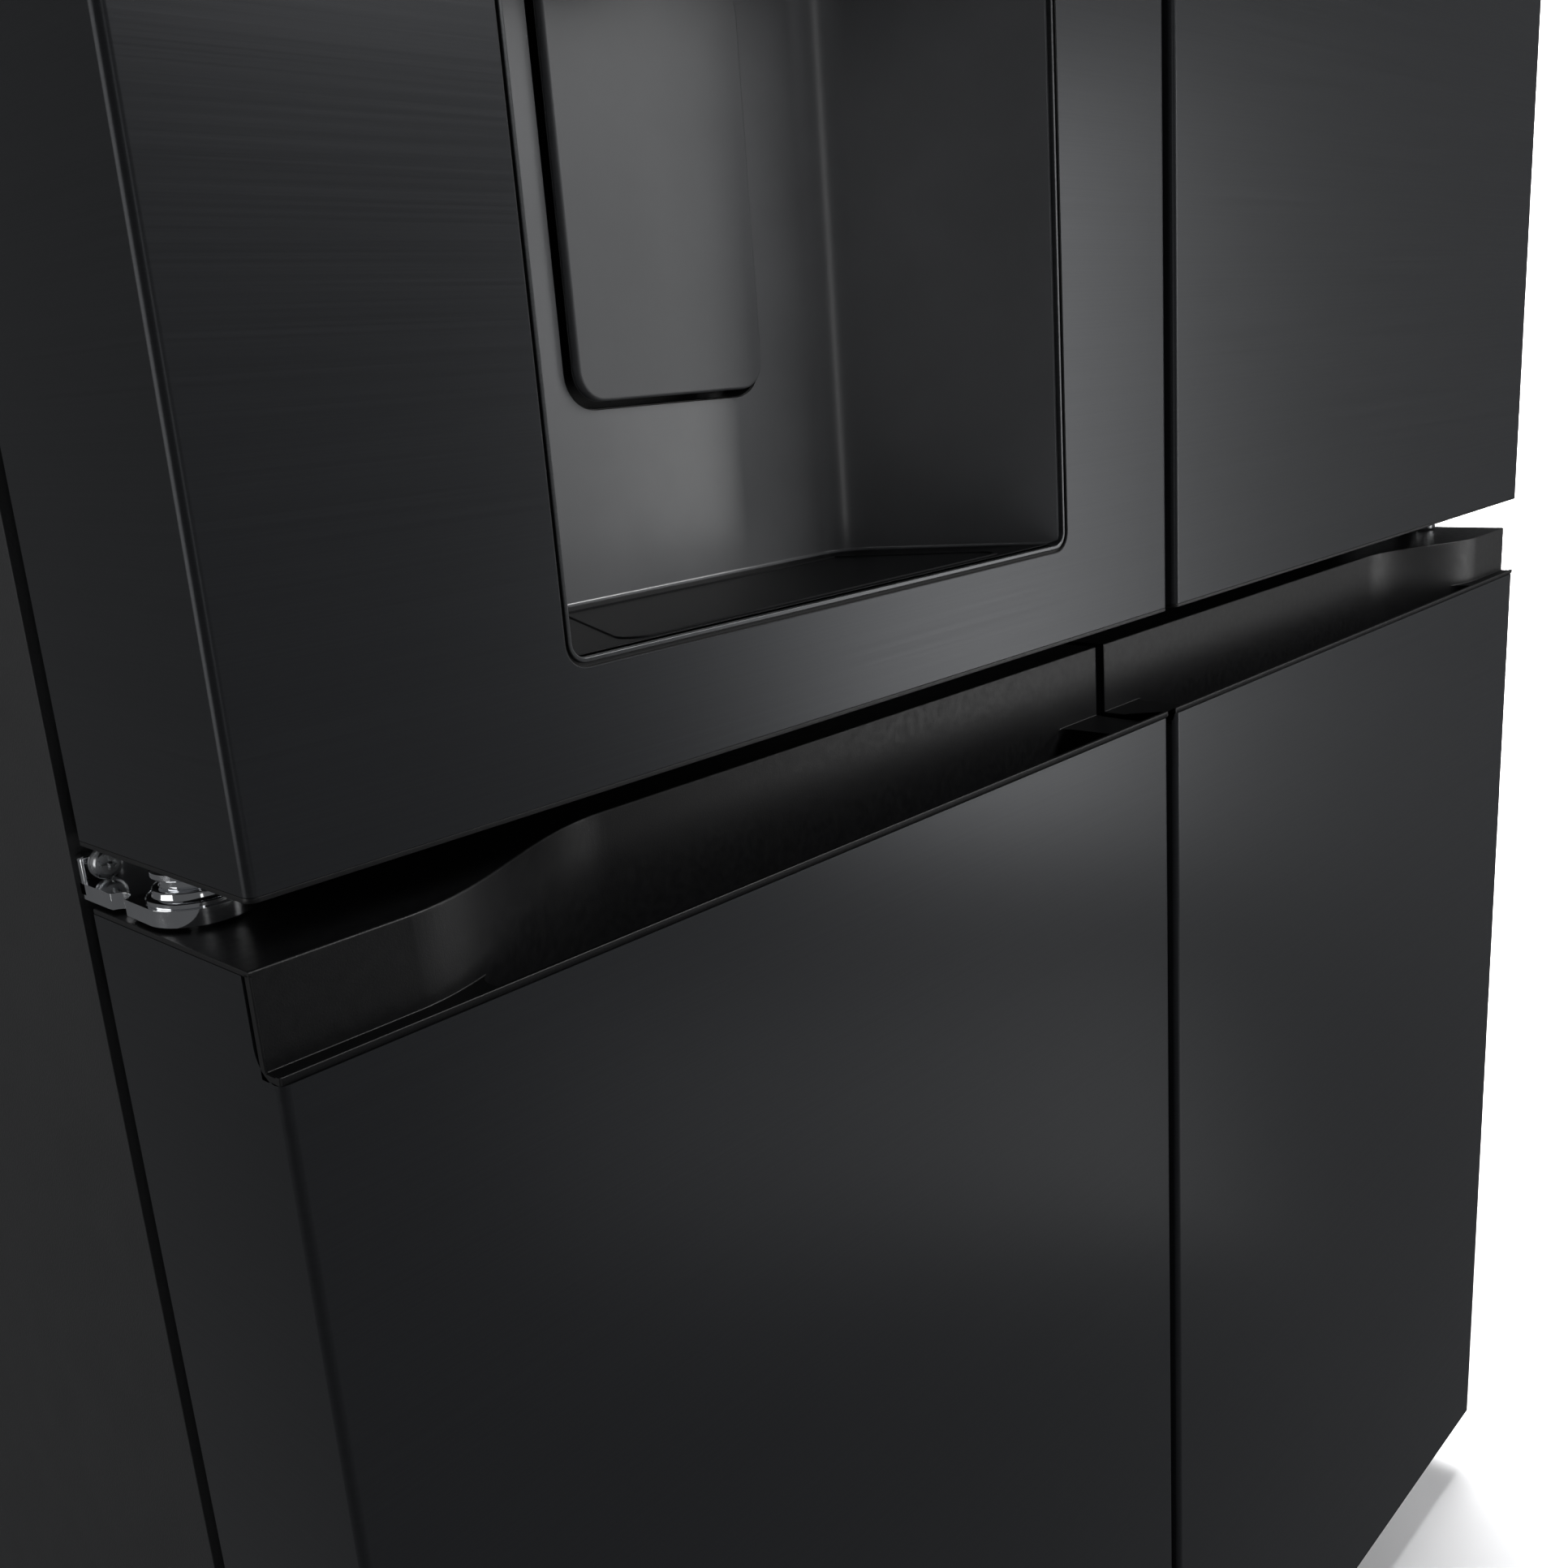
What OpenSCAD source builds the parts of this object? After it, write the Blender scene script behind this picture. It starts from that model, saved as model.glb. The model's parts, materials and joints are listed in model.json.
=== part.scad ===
// A free-standing refrigerator with two upper doors over two freezer doors.
// X runs to the right, Y from the door fronts (low) to the rear (high), Z up from the floor.
// Doors, drawers and hinges are drawn on the left side, and mirrored for the right side.

/* [Overall size] */
// Width over the doors and the cabinet
width = 912; // [900:1:925]
// Depth from the door fronts to the rear panel
depth = 728; // [720:1:760]
// Height to the top of the hinge covers
height = 1787; // [1777:1:1800]

/* [Doors] */
// Depth of a door, front face to back face
door_depth = 97; // [95:0.5:100]
// Gap between a left and a right door
door_gap = 7; // [6:0.5:8]
// Height of the upper doors' bottom edge above the floor
mid_z = 752; // [745:1:758]
// Height of the lower doors' bottom edge above the floor
lower_bottom = 50; // [48:1:54]
// Gap between an upper and a lower door
mid_gap = 19.2; // [18:0.2:20]
// Radius of the vertical front edges
edge_r = 3; // [2.5:0.5:4]
// Gap between the doors' backs and the cabinet
gasket_gap = 9; // [8.5:0.5:10]

/* [Sheet metal and plastic] */
// Thickness of the painted steel sheet
sheet = 0.7; // [0.6:0.1:1]
// Thickness of the inner liners
liner_t = 1.5; // [1.5:0.1:2]
// Thickness of an insulated cabinet side
wall = 50; // [48:1:52]

/* [Hinges] */
// Distance of the hinge pins from the cabinet's side
pin_inset = 16; // [15:0.5:17]
// Distance of the hinge pins behind the door fronts
pin_setback = 62; // [60:0.5:64]
// Radius of the hinge pins
pin_r = 4; // [3.5:0.5:4.5]

/* [Dispenser] */
// Width of the dispenser opening
disp_w = 264.3; // [255:0.1:270]
// Height of the dispenser opening
disp_h = 400; // [395:1:402]
// Distance of the dispenser's middle from the middle of the refrigerator
disp_mid = 216.65; // [214:0.05:220]

/* [Hidden] */
$fn = 64;
front = -depth / 2;
rear = depth / 2;
door_back = front + door_depth;
case_front = door_back + gasket_gap;
half_w = width / 2;
half_gap = door_gap / 2;
case_top = height - 35;
door_top = case_top - 2;
cap_top = mid_z - mid_gap;
pin_x = -half_w + pin_inset;
pin_y = front + pin_setback;
bore_r = pin_r + 0.05;
eps = 1;

// Inner faces of the compartments
fridge_x = [-half_w + wall, half_w - wall];
fridge_z = [mid_z + 43, case_top - 52];
fridge_back = rear - 64;
stile = 28;
freezer_x = [-half_w + wall, -stile];
freezer_z = [lower_bottom + 55, mid_z - 62];
freezer_back = rear - 74;
// The machine compartment behind the freezers
machine_y = rear - 234;
machine_z = [44, 270];
step_y = machine_y - 40;
step_z = machine_z[1] + 40;

// Door build-up: plastic end caps, then skin outside, foam and liner between
cap_flange = 1.5;
cap_h = 20;
skin_flange = 6;
plate_y = door_back - sheet - liner_t;
dike_y = door_back + 22;
gasket_w = 14;
gasket_y = [door_back - sheet, case_front - 0.4];
gasket_x = [pin_x + 6, -half_gap - 6.5];
upper_dike_x = [fridge_x[0] + 8, -62];
upper_dike_z = [fridge_z[0] + 8, fridge_z[1] - 8];
lower_dike_x = [freezer_x[0] + 8, -stile - 8];
lower_dike_z = [freezer_z[0] + 8, freezer_z[1] - 8];
dike_w = 16;

// The recessed grip along the top of a lower door, measured from its front face
lip_top = mid_z - 47;
steel_top = mid_z - 49.5;
grip_flange = 1.8;
lip_t = 2.4;
// The cap's plug reaches down to the flat pads between the pockets
pad_z = mid_z - 52;
grip_floor = mid_z - 85;
grip_x = [-385, -33];
wall_out = 7;
wall_in = 38;
curve_x = [-410, -310];
notch_r = 8.5;
notch_y = front + 11;

// Dispenser
disp_x = [-disp_mid - disp_w / 2, -disp_mid + disp_w / 2];
disp_z = [mid_z + 38, mid_z + 38 + disp_h];
disp_r = 8;
disp_back = front + 88;
disp_floor = disp_z[0] + 3;
disp_ceiling = disp_z[0] + 262;
housing_back = disp_back + 4;
flare = 32;
bezel_w = 3;
bezel_gap = 1.1;
paddle_w = 93.5;
paddle_z = [mid_z + 111.2, mid_z + 256];
paddle_y = [front + 83, front + 87];
paddle_pin = [front + 91, paddle_z[1] - 6];
tray_half = [100, 73];
bulge_y = rear - 586;
bulge_x = [-370, -82];
ice_z = [disp_z[1] + 16, disp_z[1] + 370];
ice_x = [-376, -84];
ice_y = front + 239;

// Mullion flap, drawn folded against the left door
flap_pin = [-49, case_front + 9];
flap_z = [upper_dike_z[0] + 3, upper_dike_z[1] - 3];

// Shelves and drawers
shelf_y = [-104, fridge_back - 50];
shelf_levels = [1340, 1530];
bin_x = [-380, -80];
bin_y = [door_back - sheet, front + 204];
bin_t = 3;
crisper_top = 1090;
crisper_y = [-135, 235];
drawer_front = -215;

// Base
foot_at = [400, case_front + 12];
roller_at = [400, rear - 44];
roller_r = 20;
base_z = [26, 60];

// ---- Shared shapes ----

// A block between two corners, each axis given as [low, high]
module span(x, y, z) {
    translate([x[0], y[0], z[0]]) cube([x[1] - x[0], y[1] - y[0], z[1] - z[0]]);
}

// An upright round bar
module rod(x, y, z, r) {
    translate([x, y, z[0]]) cylinder(h = z[1] - z[0], r = r);
}

// A round bar along X
module cross_rod(x, y, z, r) {
    translate([x[0], y, z]) rotate([0, 90, 0]) cylinder(h = x[1] - x[0], r = r);
}

// A round bar along Y
module deep_rod(x, y, z, r) {
    translate([x, y[1], z]) rotate([90, 0, 0]) cylinder(h = y[1] - y[0], r = r);
}

module both_sides() {
    children();
    mirror([1, 0, 0]) children();
}

module right_side() {
    mirror([1, 0, 0]) children();
}

// A slab facing the front, with rounded corners
module front_slab(x, y, z, r) {
    translate([0, y[1], 0]) rotate([90, 0, 0]) linear_extrude(y[1] - y[0]) {
        translate([x[0] + r, z[0]]) square([x[1] - x[0] - 2 * r, z[1] - z[0]]);
        translate([x[0], z[0] + r]) square([x[1] - x[0], z[1] - z[0] - 2 * r]);
        for (a = [x[0] + r, x[1] - r], b = [z[0] + r, z[1] - r]) translate([a, b]) circle(r);
    }
}

// An open-topped tub with walls of thickness t
module tub(x, y, z, t) {
    difference() {
        span(x, y, z);
        span([x[0] + t, x[1] - t], [y[0] + t, y[1] - t], [z[0] + t, z[1] + eps]);
    }
}

// ---- Doors ----

// Plan of a left door, pulled in all round its front and sides
module door_plan(inset, back) {
    r = edge_r - inset;
    low = -half_w + inset;
    high = -half_gap - inset;
    near = front + inset;
    translate([low, near + r]) square([high - low, back - near - r]);
    translate([low + r, near]) square([high - low - 2 * r, 2 * r]);
    for (x = [low + r, high - r]) translate([x, near + r]) circle(r);
}

module door_layer(z, inset = 0, back = door_back) {
    translate([0, 0, z[0]]) linear_extrude(z[1] - z[0]) door_plan(inset, back);
}

// Folded steel skin: front, two sides and a narrow flange round the back
module door_skin(z) {
    through = [z[0] - eps, z[1] + eps];
    difference() {
        door_layer(z);
        door_layer(through, sheet, door_back - sheet);
        span([-half_w + skin_flange, -half_gap - skin_flange],
            [door_back - 2 * sheet, door_back + eps], through);
    }
}

module door_foam(z) {
    door_layer(z, sheet, plate_y);
}

module dike_ring(x, z, y_end) {
    difference() {
        span(x, [door_back - sheet, y_end], z);
        span([x[0] + dike_w, x[1] - dike_w], [door_back - 2 * sheet, y_end + eps],
            [z[0] + dike_w, z[1] - dike_w]);
    }
}

// Inner door panel with the raised ring that stands inside the cabinet
module door_liner(z, dike_x, dike_z) {
    span([-half_w + sheet, -half_gap - sheet], [plate_y, door_back - sheet], z);
    dike_ring(dike_x, dike_z, dike_y);
}

module end_cap(z_out, up) {
    flange = up > 0 ? [z_out, z_out + cap_flange] : [z_out - cap_flange, z_out];
    plug = up > 0 ? [z_out + cap_flange, z_out + cap_h] : [z_out - cap_h, z_out - cap_flange];
    difference() {
        union() {
            door_layer(flange);
            door_layer(plug, sheet, door_back - sheet);
        }
        rod(pin_x, pin_y, [min(flange[0], plug[0]) + (up > 0 ? -eps : 2),
            max(flange[1], plug[1]) + (up > 0 ? -2 : eps)], bore_r);
    }
}

module gasket_ring(z) {
    difference() {
        span(gasket_x, gasket_y, z);
        span([gasket_x[0] + gasket_w, gasket_x[1] - gasket_w],
            [gasket_y[0] - eps, gasket_y[1] + eps], [z[0] + gasket_w, z[1] - gasket_w]);
    }
}

upper_core = [mid_z + cap_h, door_top - cap_h];
upper_skin_z = [mid_z + cap_flange, door_top - cap_flange];

module upper_skin() { door_skin(upper_skin_z); }
module upper_liner() { door_liner(upper_core, upper_dike_x, upper_dike_z); }
module upper_gasket() { gasket_ring([mid_z + 8, door_top - 8]); }
module upper_caps() {
    end_cap(mid_z, 1);
    end_cap(door_top, -1);
}

module upper_left_skin() {
    color("#26292a") difference() {
        upper_skin();
        front_slab(disp_x, [front - eps, front + 2], disp_z, disp_r);
    }
}

module upper_left_foam() {
    color("#d9c78e") difference() {
        union() {
            door_foam(upper_core);
            span([bulge_x[0] + liner_t, bulge_x[1] - liner_t], [plate_y - eps, bulge_y - liner_t],
                [upper_dike_z[0] + dike_w, disp_z[1] + 10]);
        }
        front_slab(disp_x, [front - eps, housing_back], disp_z, disp_r);
        paddle_recess(3.5);
    }
}

// Space behind the paddle, grown by a margin
module paddle_recess(margin) {
    span([-disp_mid - paddle_w / 2 - 3 - margin, -disp_mid + paddle_w / 2 + 3 + margin],
        [disp_back - eps, front + 102 + margin],
        [paddle_z[0] - 3 - margin, paddle_z[1] + 3 + margin]);
}

module upper_left_liner() {
    bulge_z = [upper_dike_z[0] + dike_w, disp_z[1] + 10 + liner_t];
    ice_wall = 12;
    color("#e8eaec") {
        difference() {
            union() {
                upper_liner();
                span(bulge_x, [door_back - sheet, bulge_y], bulge_z);
            }
            span([bulge_x[0] + liner_t, bulge_x[1] - liner_t], [plate_y - eps, bulge_y - liner_t],
                [bulge_z[0], bulge_z[1] - liner_t]);
        }
        difference() {
            span(ice_x, [door_back - sheet, ice_y], ice_z);
            span([ice_x[0] + ice_wall, ice_x[1] - ice_wall], [door_back - sheet - eps, ice_y + eps],
                [ice_z[0] + ice_wall, ice_z[1] - ice_wall]);
        }
        for (z = [[upper_dike_z[0] - 4, flap_z[0] - 0.5], [flap_z[1] + 0.5, upper_dike_z[1] + 4]])
            span([flap_pin[0] - 8, flap_pin[0] + 8], [door_back - sheet, flap_pin[1] + 8], z);
        for (z = [[flap_z[0] - 0.5, flap_z[0] + 7], [flap_z[1] - 7, flap_z[1] + 0.5]])
            rod(flap_pin[0], flap_pin[1], z, 3);
    }
}

module upper_left_caps() { color("#1b1c1d") upper_caps(); }
module upper_left_gasket() { color("#2b2c2d") upper_gasket(); }

module upper_left_bins() {
    color("#dfe7ec", 0.6) {
        for (z = [825, 1010])
            tub([bulge_x[0] + 4, bulge_x[1] - 4], [bulge_y, bulge_y + 72], [z, z + 80], bin_t);
        tub(bin_x, bin_y, [ice_z[1] + 10, ice_z[1] + 95], bin_t);
    }
}

module dispenser_housing() {
    depth_y = [front + 6, housing_back];
    x = [disp_x[0] + 0.6, disp_x[1] - 0.6];
    z = [disp_z[0] + 0.6, disp_z[1] - 0.6];
    pocket_z = [disp_ceiling + 10, z[1] - 4];
    color("#2c2e30") difference() {
        union() {
            front_slab(x, depth_y, z, disp_r - 1);
            paddle_recess(3);
        }
        dispenser_cavity();
        paddle_recess(0);
        span([x[0] + 6, x[1] - 6], [front, disp_back - 10], pocket_z);
        rod(-disp_mid, front + 50, [disp_ceiling - eps, disp_ceiling + 8], 27.5);
        cross_rod([-disp_mid - paddle_w / 2 - 5.5, -disp_mid + paddle_w / 2 + 5.5],
            paddle_pin[0], paddle_pin[1], 2.05);
    }
}

// Half an arc of points round a corner
function arc(centre, r, from, to, steps) =
    [for (i = [0:steps]) let (a = from + (to - from) * i / steps)
        centre + r * [cos(a), sin(a)]];

// The recess narrows towards its back, where its upright corners are round
module dispenser_cavity() {
    r = 17;
    near = [disp_x[0] + bezel_w, disp_x[1] - bezel_w];
    far = [disp_x[0] + flare, disp_x[1] - flare];
    translate([0, 0, disp_floor]) linear_extrude(disp_ceiling - disp_floor)
        polygon(concat([[near[0], front - eps]],
            [[near[1], front - eps]],
            arc([far[1] - r, disp_back - r], r, 10, 90, 8),
            arc([far[0] + r, disp_back - r], r, 90, 170, 8)));
}

module dispenser_bezel() {
    color("#3a3c3e") difference() {
        front_slab([disp_x[0] + bezel_gap, disp_x[1] - bezel_gap], [front + 0.3, front + 6],
            [disp_z[0] + bezel_gap, disp_z[1] - bezel_gap], disp_r - bezel_gap);
        front_slab([disp_x[0] + bezel_w, disp_x[1] - bezel_w], [front - eps, front + 6 + eps],
            [disp_floor, disp_z[1] - bezel_w], disp_r - bezel_w);
    }
}

module control_panel() {
    color("#050506") front_slab([disp_x[0] + bezel_w + 0.3, disp_x[1] - bezel_w - 0.3],
        [front + 1.5, front + 5.5], [disp_ceiling + 4, disp_z[1] - bezel_w - 0.3], 3);
}

// The chute that ice and water leave by
module dispenser_nozzle() {
    color("#3c3f42") translate([-disp_mid, front + 50, 0]) difference() {
        union() {
            translate([0, 0, disp_ceiling - 22]) cylinder(h = 30, r = 27);
            translate([0, 0, disp_ceiling - 30]) cylinder(h = 12, r = 22);
        }
        translate([0, 0, disp_ceiling - 31]) cylinder(h = 40, r = 19);
    }
}

module drip_tray() {
    color("#34373a") difference() {
        tray_plate(0, [disp_floor, disp_floor + 3]);
        tray_plate(2, [disp_floor + 1.2, disp_floor + 4]);
    }
}

// A flat plate that narrows towards its back, with its front corners cut off
module tray_plate(inset, z) {
    near = tray_half[0] - inset;
    far = tray_half[1] - inset;
    y = [front + 8 + inset, front + 75 - inset];
    cut = 5;
    translate([-disp_mid, 0, z[0]]) linear_extrude(z[1] - z[0])
        polygon([[cut - near, y[0]], [near - cut, y[0]], [near, y[0] + cut], [far, y[1]],
            [-far, y[1]], [-near, y[0] + cut]]);
}

module dispenser_paddle() {
    x = [-disp_mid - paddle_w / 2, -disp_mid + paddle_w / 2];
    color("#1d1f20") {
        front_slab(x, paddle_y, paddle_z, 11);
        span([x[0] + 6, x[1] - 6], [paddle_y[1], paddle_pin[0]], [paddle_pin[1] - 3, paddle_pin[1] + 3]);
        cross_rod([x[0] - 5, x[1] + 5], paddle_pin[0], paddle_pin[1], 2);
    }
}

// The ice bucket's front closes the ice room; the maker with its moulds sits above the bucket
module ice_maker_and_bucket() {
    color("#e6eaed") {
        difference() {
            span([ice_x[0] + 20, ice_x[1] - 20], [door_back + 6, ice_y - 30],
                [ice_z[1] - 104, ice_z[1] - 20]);
            for (i = [0:5]) cross_rod([ice_x[0] + 30 + 40 * i, ice_x[0] + 62 + 40 * i],
                door_back + 62, ice_z[1] - 20, 30);
        }
        tub([ice_x[0] + 16, ice_x[1] - 16], [door_back + 6, ice_y - 5],
            [ice_z[0] + 14, ice_z[1] - 116], bin_t);
        span([ice_x[0] + 14, ice_x[1] - 14], [ice_y - 6, ice_y], [ice_z[0] + 13, ice_z[1] - 13]);
        span([ice_x[0] + 136, ice_x[0] + 156], [ice_y - eps, ice_y + 12], [ice_z[0] + 120, ice_z[0] + 200]);
    }
}

// Seals the gap between the upper doors when it is swung out
module mullion_flap() {
    x = [flap_pin[0] - 9, flap_pin[0] + 9];
    color("#3b3d3f") difference() {
        span(x, [flap_pin[1] - 1, flap_pin[1] + 83], flap_z);
        for (z = [[flap_z[0] - eps, flap_z[0] + 8], [flap_z[1] - 8, flap_z[1] + eps]])
            rod(flap_pin[0], flap_pin[1], z, 3.05);
    }
}

module upper_right_skin() { color("#26292a") right_side() upper_skin(); }
module upper_right_foam() { color("#d9c78e") right_side() door_foam(upper_core); }
module upper_right_liner() { color("#e8eaec") right_side() upper_liner(); }
module upper_right_caps() { color("#1b1c1d") right_side() upper_caps(); }
module upper_right_gasket() { color("#2b2c2d") right_side() upper_gasket(); }
module upper_right_bins() {
    color("#dfe7ec", 0.6) right_side()
        for (z = [835, 1140, 1445]) tub(bin_x, bin_y, [z, z + 105], bin_t);
}

// ---- Lower doors ----

// Depth of the grip's rear wall behind the door front: an S from the deep middle to the end
function grip_wall(x) =
    let (t = max(0, min(1, (x - curve_x[0]) / (curve_x[1] - curve_x[0]))))
    front + wall_out + (wall_in - wall_out) * (1 - cos(180 * t)) / 2;

function wall_line(from, to, steps) =
    [for (i = [0:steps]) let (x = from + (to - from) * i / steps) [x, grip_wall(x)]];

// Plan of everything behind the grip's rear wall
module behind_grip(inset) {
    x = [-half_w + inset, -half_gap - inset];
    polygon(concat(
        [[x[1], door_back - inset], [x[0], door_back - inset], [x[0], front + wall_out]],
        wall_line(curve_x[0], curve_x[1], 20),
        [[x[1], front + wall_in]]));
}

// The finger pocket between the front lip and the rear wall
module grip_pocket() {
    lip = front + lip_t;
    translate([0, 0, grip_floor]) linear_extrude(cap_top - grip_floor + eps)
        polygon(concat([[grip_x[1], lip], [grip_x[0], lip]], wall_line(grip_x[0], grip_x[1], 30)));
}

module grip_cap() {
    tub_x = [grip_x[0] - 3, grip_x[1] + 3];
    tub_back = front + wall_in + 3;
    flange_z = cap_top - grip_flange;
    difference() {
        union() {
            translate([0, 0, pad_z]) linear_extrude(flange_z - pad_z) behind_grip(sheet);
            translate([0, 0, flange_z]) linear_extrude(grip_flange) behind_grip(0);
            intersection() {
                door_layer([grip_floor - 3, lip_top - 1], sheet);
                union() {
                    span(tub_x, [front, tub_back], [grip_floor - 3, lip_top]);
                    span([-half_w, tub_x[0] + eps], [front, front + wall_out + 4], [pad_z, lip_top]);
                    span([tub_x[1] - eps, 0], [front, tub_back], [pad_z - 3, pad_z]);
                    span([tub_x[1] - eps, 0], [front, front + lip_t], [pad_z - eps, lip_top]);
                }
            }
            span([-half_w + edge_r, -half_gap - edge_r], [front, front + lip_t],
                [steel_top + 0.05, lip_top]);
        }
        grip_pocket();
        rod(pin_x, pin_y, [pad_z + 12, cap_top + eps], bore_r);
    }
}

module lower_skin() {
    difference() {
        door_skin([lower_bottom + cap_flange, cap_top - grip_flange]);
        span([-half_w - eps, 0], [front - eps, notch_y], [steel_top + notch_r, cap_top]);
        span([-half_w - eps, 0], [front - eps, notch_y - notch_r], [steel_top, cap_top]);
        cross_rod([-half_w - eps, 0], notch_y - notch_r, steel_top + notch_r, notch_r);
        span([-half_gap - skin_flange, 0], [front - eps, front + wall_in + 4], [steel_top, cap_top]);
    }
}

module lower_foam() {
    difference() {
        door_foam([lower_bottom + cap_h, pad_z]);
        span([grip_x[0] - 3, grip_x[1] + 3], [front, front + wall_in + 3],
            [grip_floor - 3, pad_z + eps]);
        span([grip_x[1], 0], [front, front + wall_in + 3], [pad_z - 3, pad_z + eps]);
    }
}

module lower_caps() {
    end_cap(lower_bottom, 1);
    grip_cap();
}

module lower_liner() {
    door_liner([lower_bottom + cap_h, pad_z], lower_dike_x, lower_dike_z);
}

module lower_gasket() { gasket_ring([lower_bottom + 8, mid_z - 33]); }

module lower_left_skin() { color("#26292a") lower_skin(); }
module lower_left_foam() { color("#d9c78e") lower_foam(); }
module lower_left_liner() { color("#e8eaec") lower_liner(); }
module lower_left_caps() { color("#1b1c1d") lower_caps(); }
module lower_left_gasket() { color("#2b2c2d") lower_gasket(); }
module lower_right_skin() { color("#26292a") right_side() lower_skin(); }
module lower_right_foam() { color("#d9c78e") right_side() lower_foam(); }
module lower_right_liner() { color("#e8eaec") right_side() lower_liner(); }
module lower_right_caps() { color("#1b1c1d") right_side() lower_caps(); }
module lower_right_gasket() { color("#2b2c2d") right_side() lower_gasket(); }

// ---- Cabinet ----

shell_flange = 26;
rail_z = [freezer_z[1] + 5, fridge_z[0] - 5];
flange_edge = half_w - shell_flange;
front_layer = [case_front, case_front + liner_t];
foam_back = rear - 3.4;
back_rib_w = 9;

// Wrapped steel sheet: two sides, the top and a narrow flange round the front
module cabinet_shell() {
    color("#2b2d2e") difference() {
        span([-half_w, half_w], [case_front, rear], [base_z[0], case_top]);
        span([-half_w + sheet, half_w - sheet], [case_front + sheet, rear + eps],
            [base_z[0] - eps, case_top - sheet]);
        span([-flange_edge, flange_edge], [case_front - eps, case_front + 2 * sheet],
            [base_z[0] - eps, case_top - 24]);
    }
}

// Thin sheet with pressed stiffening frames, four on each side of the middle
module rear_panel() {
    z = [machine_z[1], case_top - sheet];
    rows = 4;
    pitch = (z[1] - z[0] - 90) / rows;
    color("#8b8f92") {
        span([-half_w + sheet, half_w - sheet], [foam_back, foam_back + 0.8], z);
        both_sides() for (i = [0:rows - 1]) {
            low = z[0] + 60 + i * pitch;
            stiffening_frame([-half_w + 60, -16], [low, low + pitch - 30]);
        }
    }
}

module stiffening_frame(x, z) {
    y = [foam_back + 0.4, rear - 0.4];
    w = back_rib_w;
    difference() {
        span(x, y, z);
        span([x[0] + w, x[1] - w], [y[0] - eps, y[1] + eps], [z[0] + w, z[1] - w]);
    }
}

// Perforated cover over the machine compartment
module machine_cover() {
    color("#6f7376") difference() {
        span([-half_w + sheet, half_w - sheet], [rear - 1.5, rear], [base_z[1], machine_z[1] - 1]);
        for (x = [-280:20:280], z = [96, 156]) span([x - 4, x + 4], [rear - 3, rear + eps], [z, z + 44]);
        deep_rod(valve_at[0], [rear - 3, rear + eps], valve_at[1], 15);
        deep_rod(gland_at[0], [rear - 3, rear + eps], gland_at[1], 9.6);
    }
}

// Front rail, side rails, machine compartment sheets and the rear rollers' brackets
module base_frame() {
    side = half_w - sheet;
    back = rear - 1.5;
    color("#55595c") {
        span([-side, side], [case_front + sheet, case_front + 21], base_z);
        both_sides() span([side - 12, side], [case_front + 21 - eps, back], base_z);
        span([-side, side], [machine_y, back], [machine_z[0], machine_z[0] + 2]);
        span([-side, side], [machine_y, machine_y + 1], [machine_z[0], machine_z[1]]);
        span([-side, side], [machine_y, back], [machine_z[1] - 1, machine_z[1]]);
        both_sides() {
            for (x = [roller_at[0] - 17, roller_at[0] + 14])
                span([x, x + 3], [roller_at[1] - 12, roller_at[1] + 12], [10, machine_z[0] + eps]);
            cross_rod([roller_at[0] - 16, roller_at[0] + 16], roller_at[1], roller_r, 4);
        }
    }
}

module freezer_cavity(t, start) {
    x = [freezer_x[0] - t, freezer_x[1] + t];
    span(x, [start, step_y + t], [freezer_z[0] - t, freezer_z[1] + t]);
    span(x, [start, freezer_back + t], [step_z - t, freezer_z[1] + t]);
}

module fridge_cavity(t, start) {
    span([fridge_x[0] - t, fridge_x[1] + t], [start, fridge_back + t],
        [fridge_z[0] - t, fridge_z[1] + t]);
}

module cabinet_foam() {
    side = half_w - sheet;
    start = case_front + liner_t;
    color("#d9c78e") difference() {
        span([-side, side], [start, foam_back], [base_z[1], case_top - sheet]);
        fridge_cavity(liner_t, start - eps);
        both_sides() freezer_cavity(liner_t, start - eps);
        span([-half_w, half_w], [machine_y, rear], [base_z[0], machine_z[1]]);
    }
}

// Moulded linings of the three compartments, with the runners that the drawers slide on
module inner_liners() {
    runner = 9.5;
    color("#eceef0") {
        difference() {
            union() {
                fridge_cavity(liner_t, case_front);
                span([-flange_edge, flange_edge], front_layer, [rail_z[1], case_top - 24]);
            }
            fridge_cavity(0, case_front - eps);
        }
        both_sides() {
            for (x = [[-398, -380], [-30, -12]])
                span(x, [crisper_y[0], crisper_y[1]], [fridge_z[0], fridge_z[0] + runner]);
            difference() {
                union() {
                    freezer_cavity(liner_t, case_front);
                    span([-flange_edge, -stile + 5], front_layer, [freezer_z[0] - 5, rail_z[0]]);
                }
                freezer_cavity(0, case_front - eps);
            }
            for (x = [[-378, -362], [-54, -38]])
                span(x, [-200, step_y - 10], [freezer_z[0], freezer_z[0] + runner]);
            for (x = [[freezer_x[0], -372], [-44, freezer_x[1]]])
                span(x, [-200, 236], [step_z + 6, step_z + 11.5]);
            for (z = shelf_levels) span([fridge_x[0], -394], shelf_y, [z - 14, z - 8]);
            span([fridge_x[0], -394], shelf_y, [crisper_top, crisper_top + 6]);
        }
    }
}

// Painted rails between the compartments
module front_rails() {
    color("#2b2d2e") {
        span([-flange_edge, flange_edge], front_layer, rail_z);
        span([-stile + 5, stile - 5], front_layer, [freezer_z[0] - 5 - eps, rail_z[0] + eps]);
        span([-flange_edge, flange_edge], front_layer, [base_z[1], freezer_z[0] - 5]);
    }
}

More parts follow.
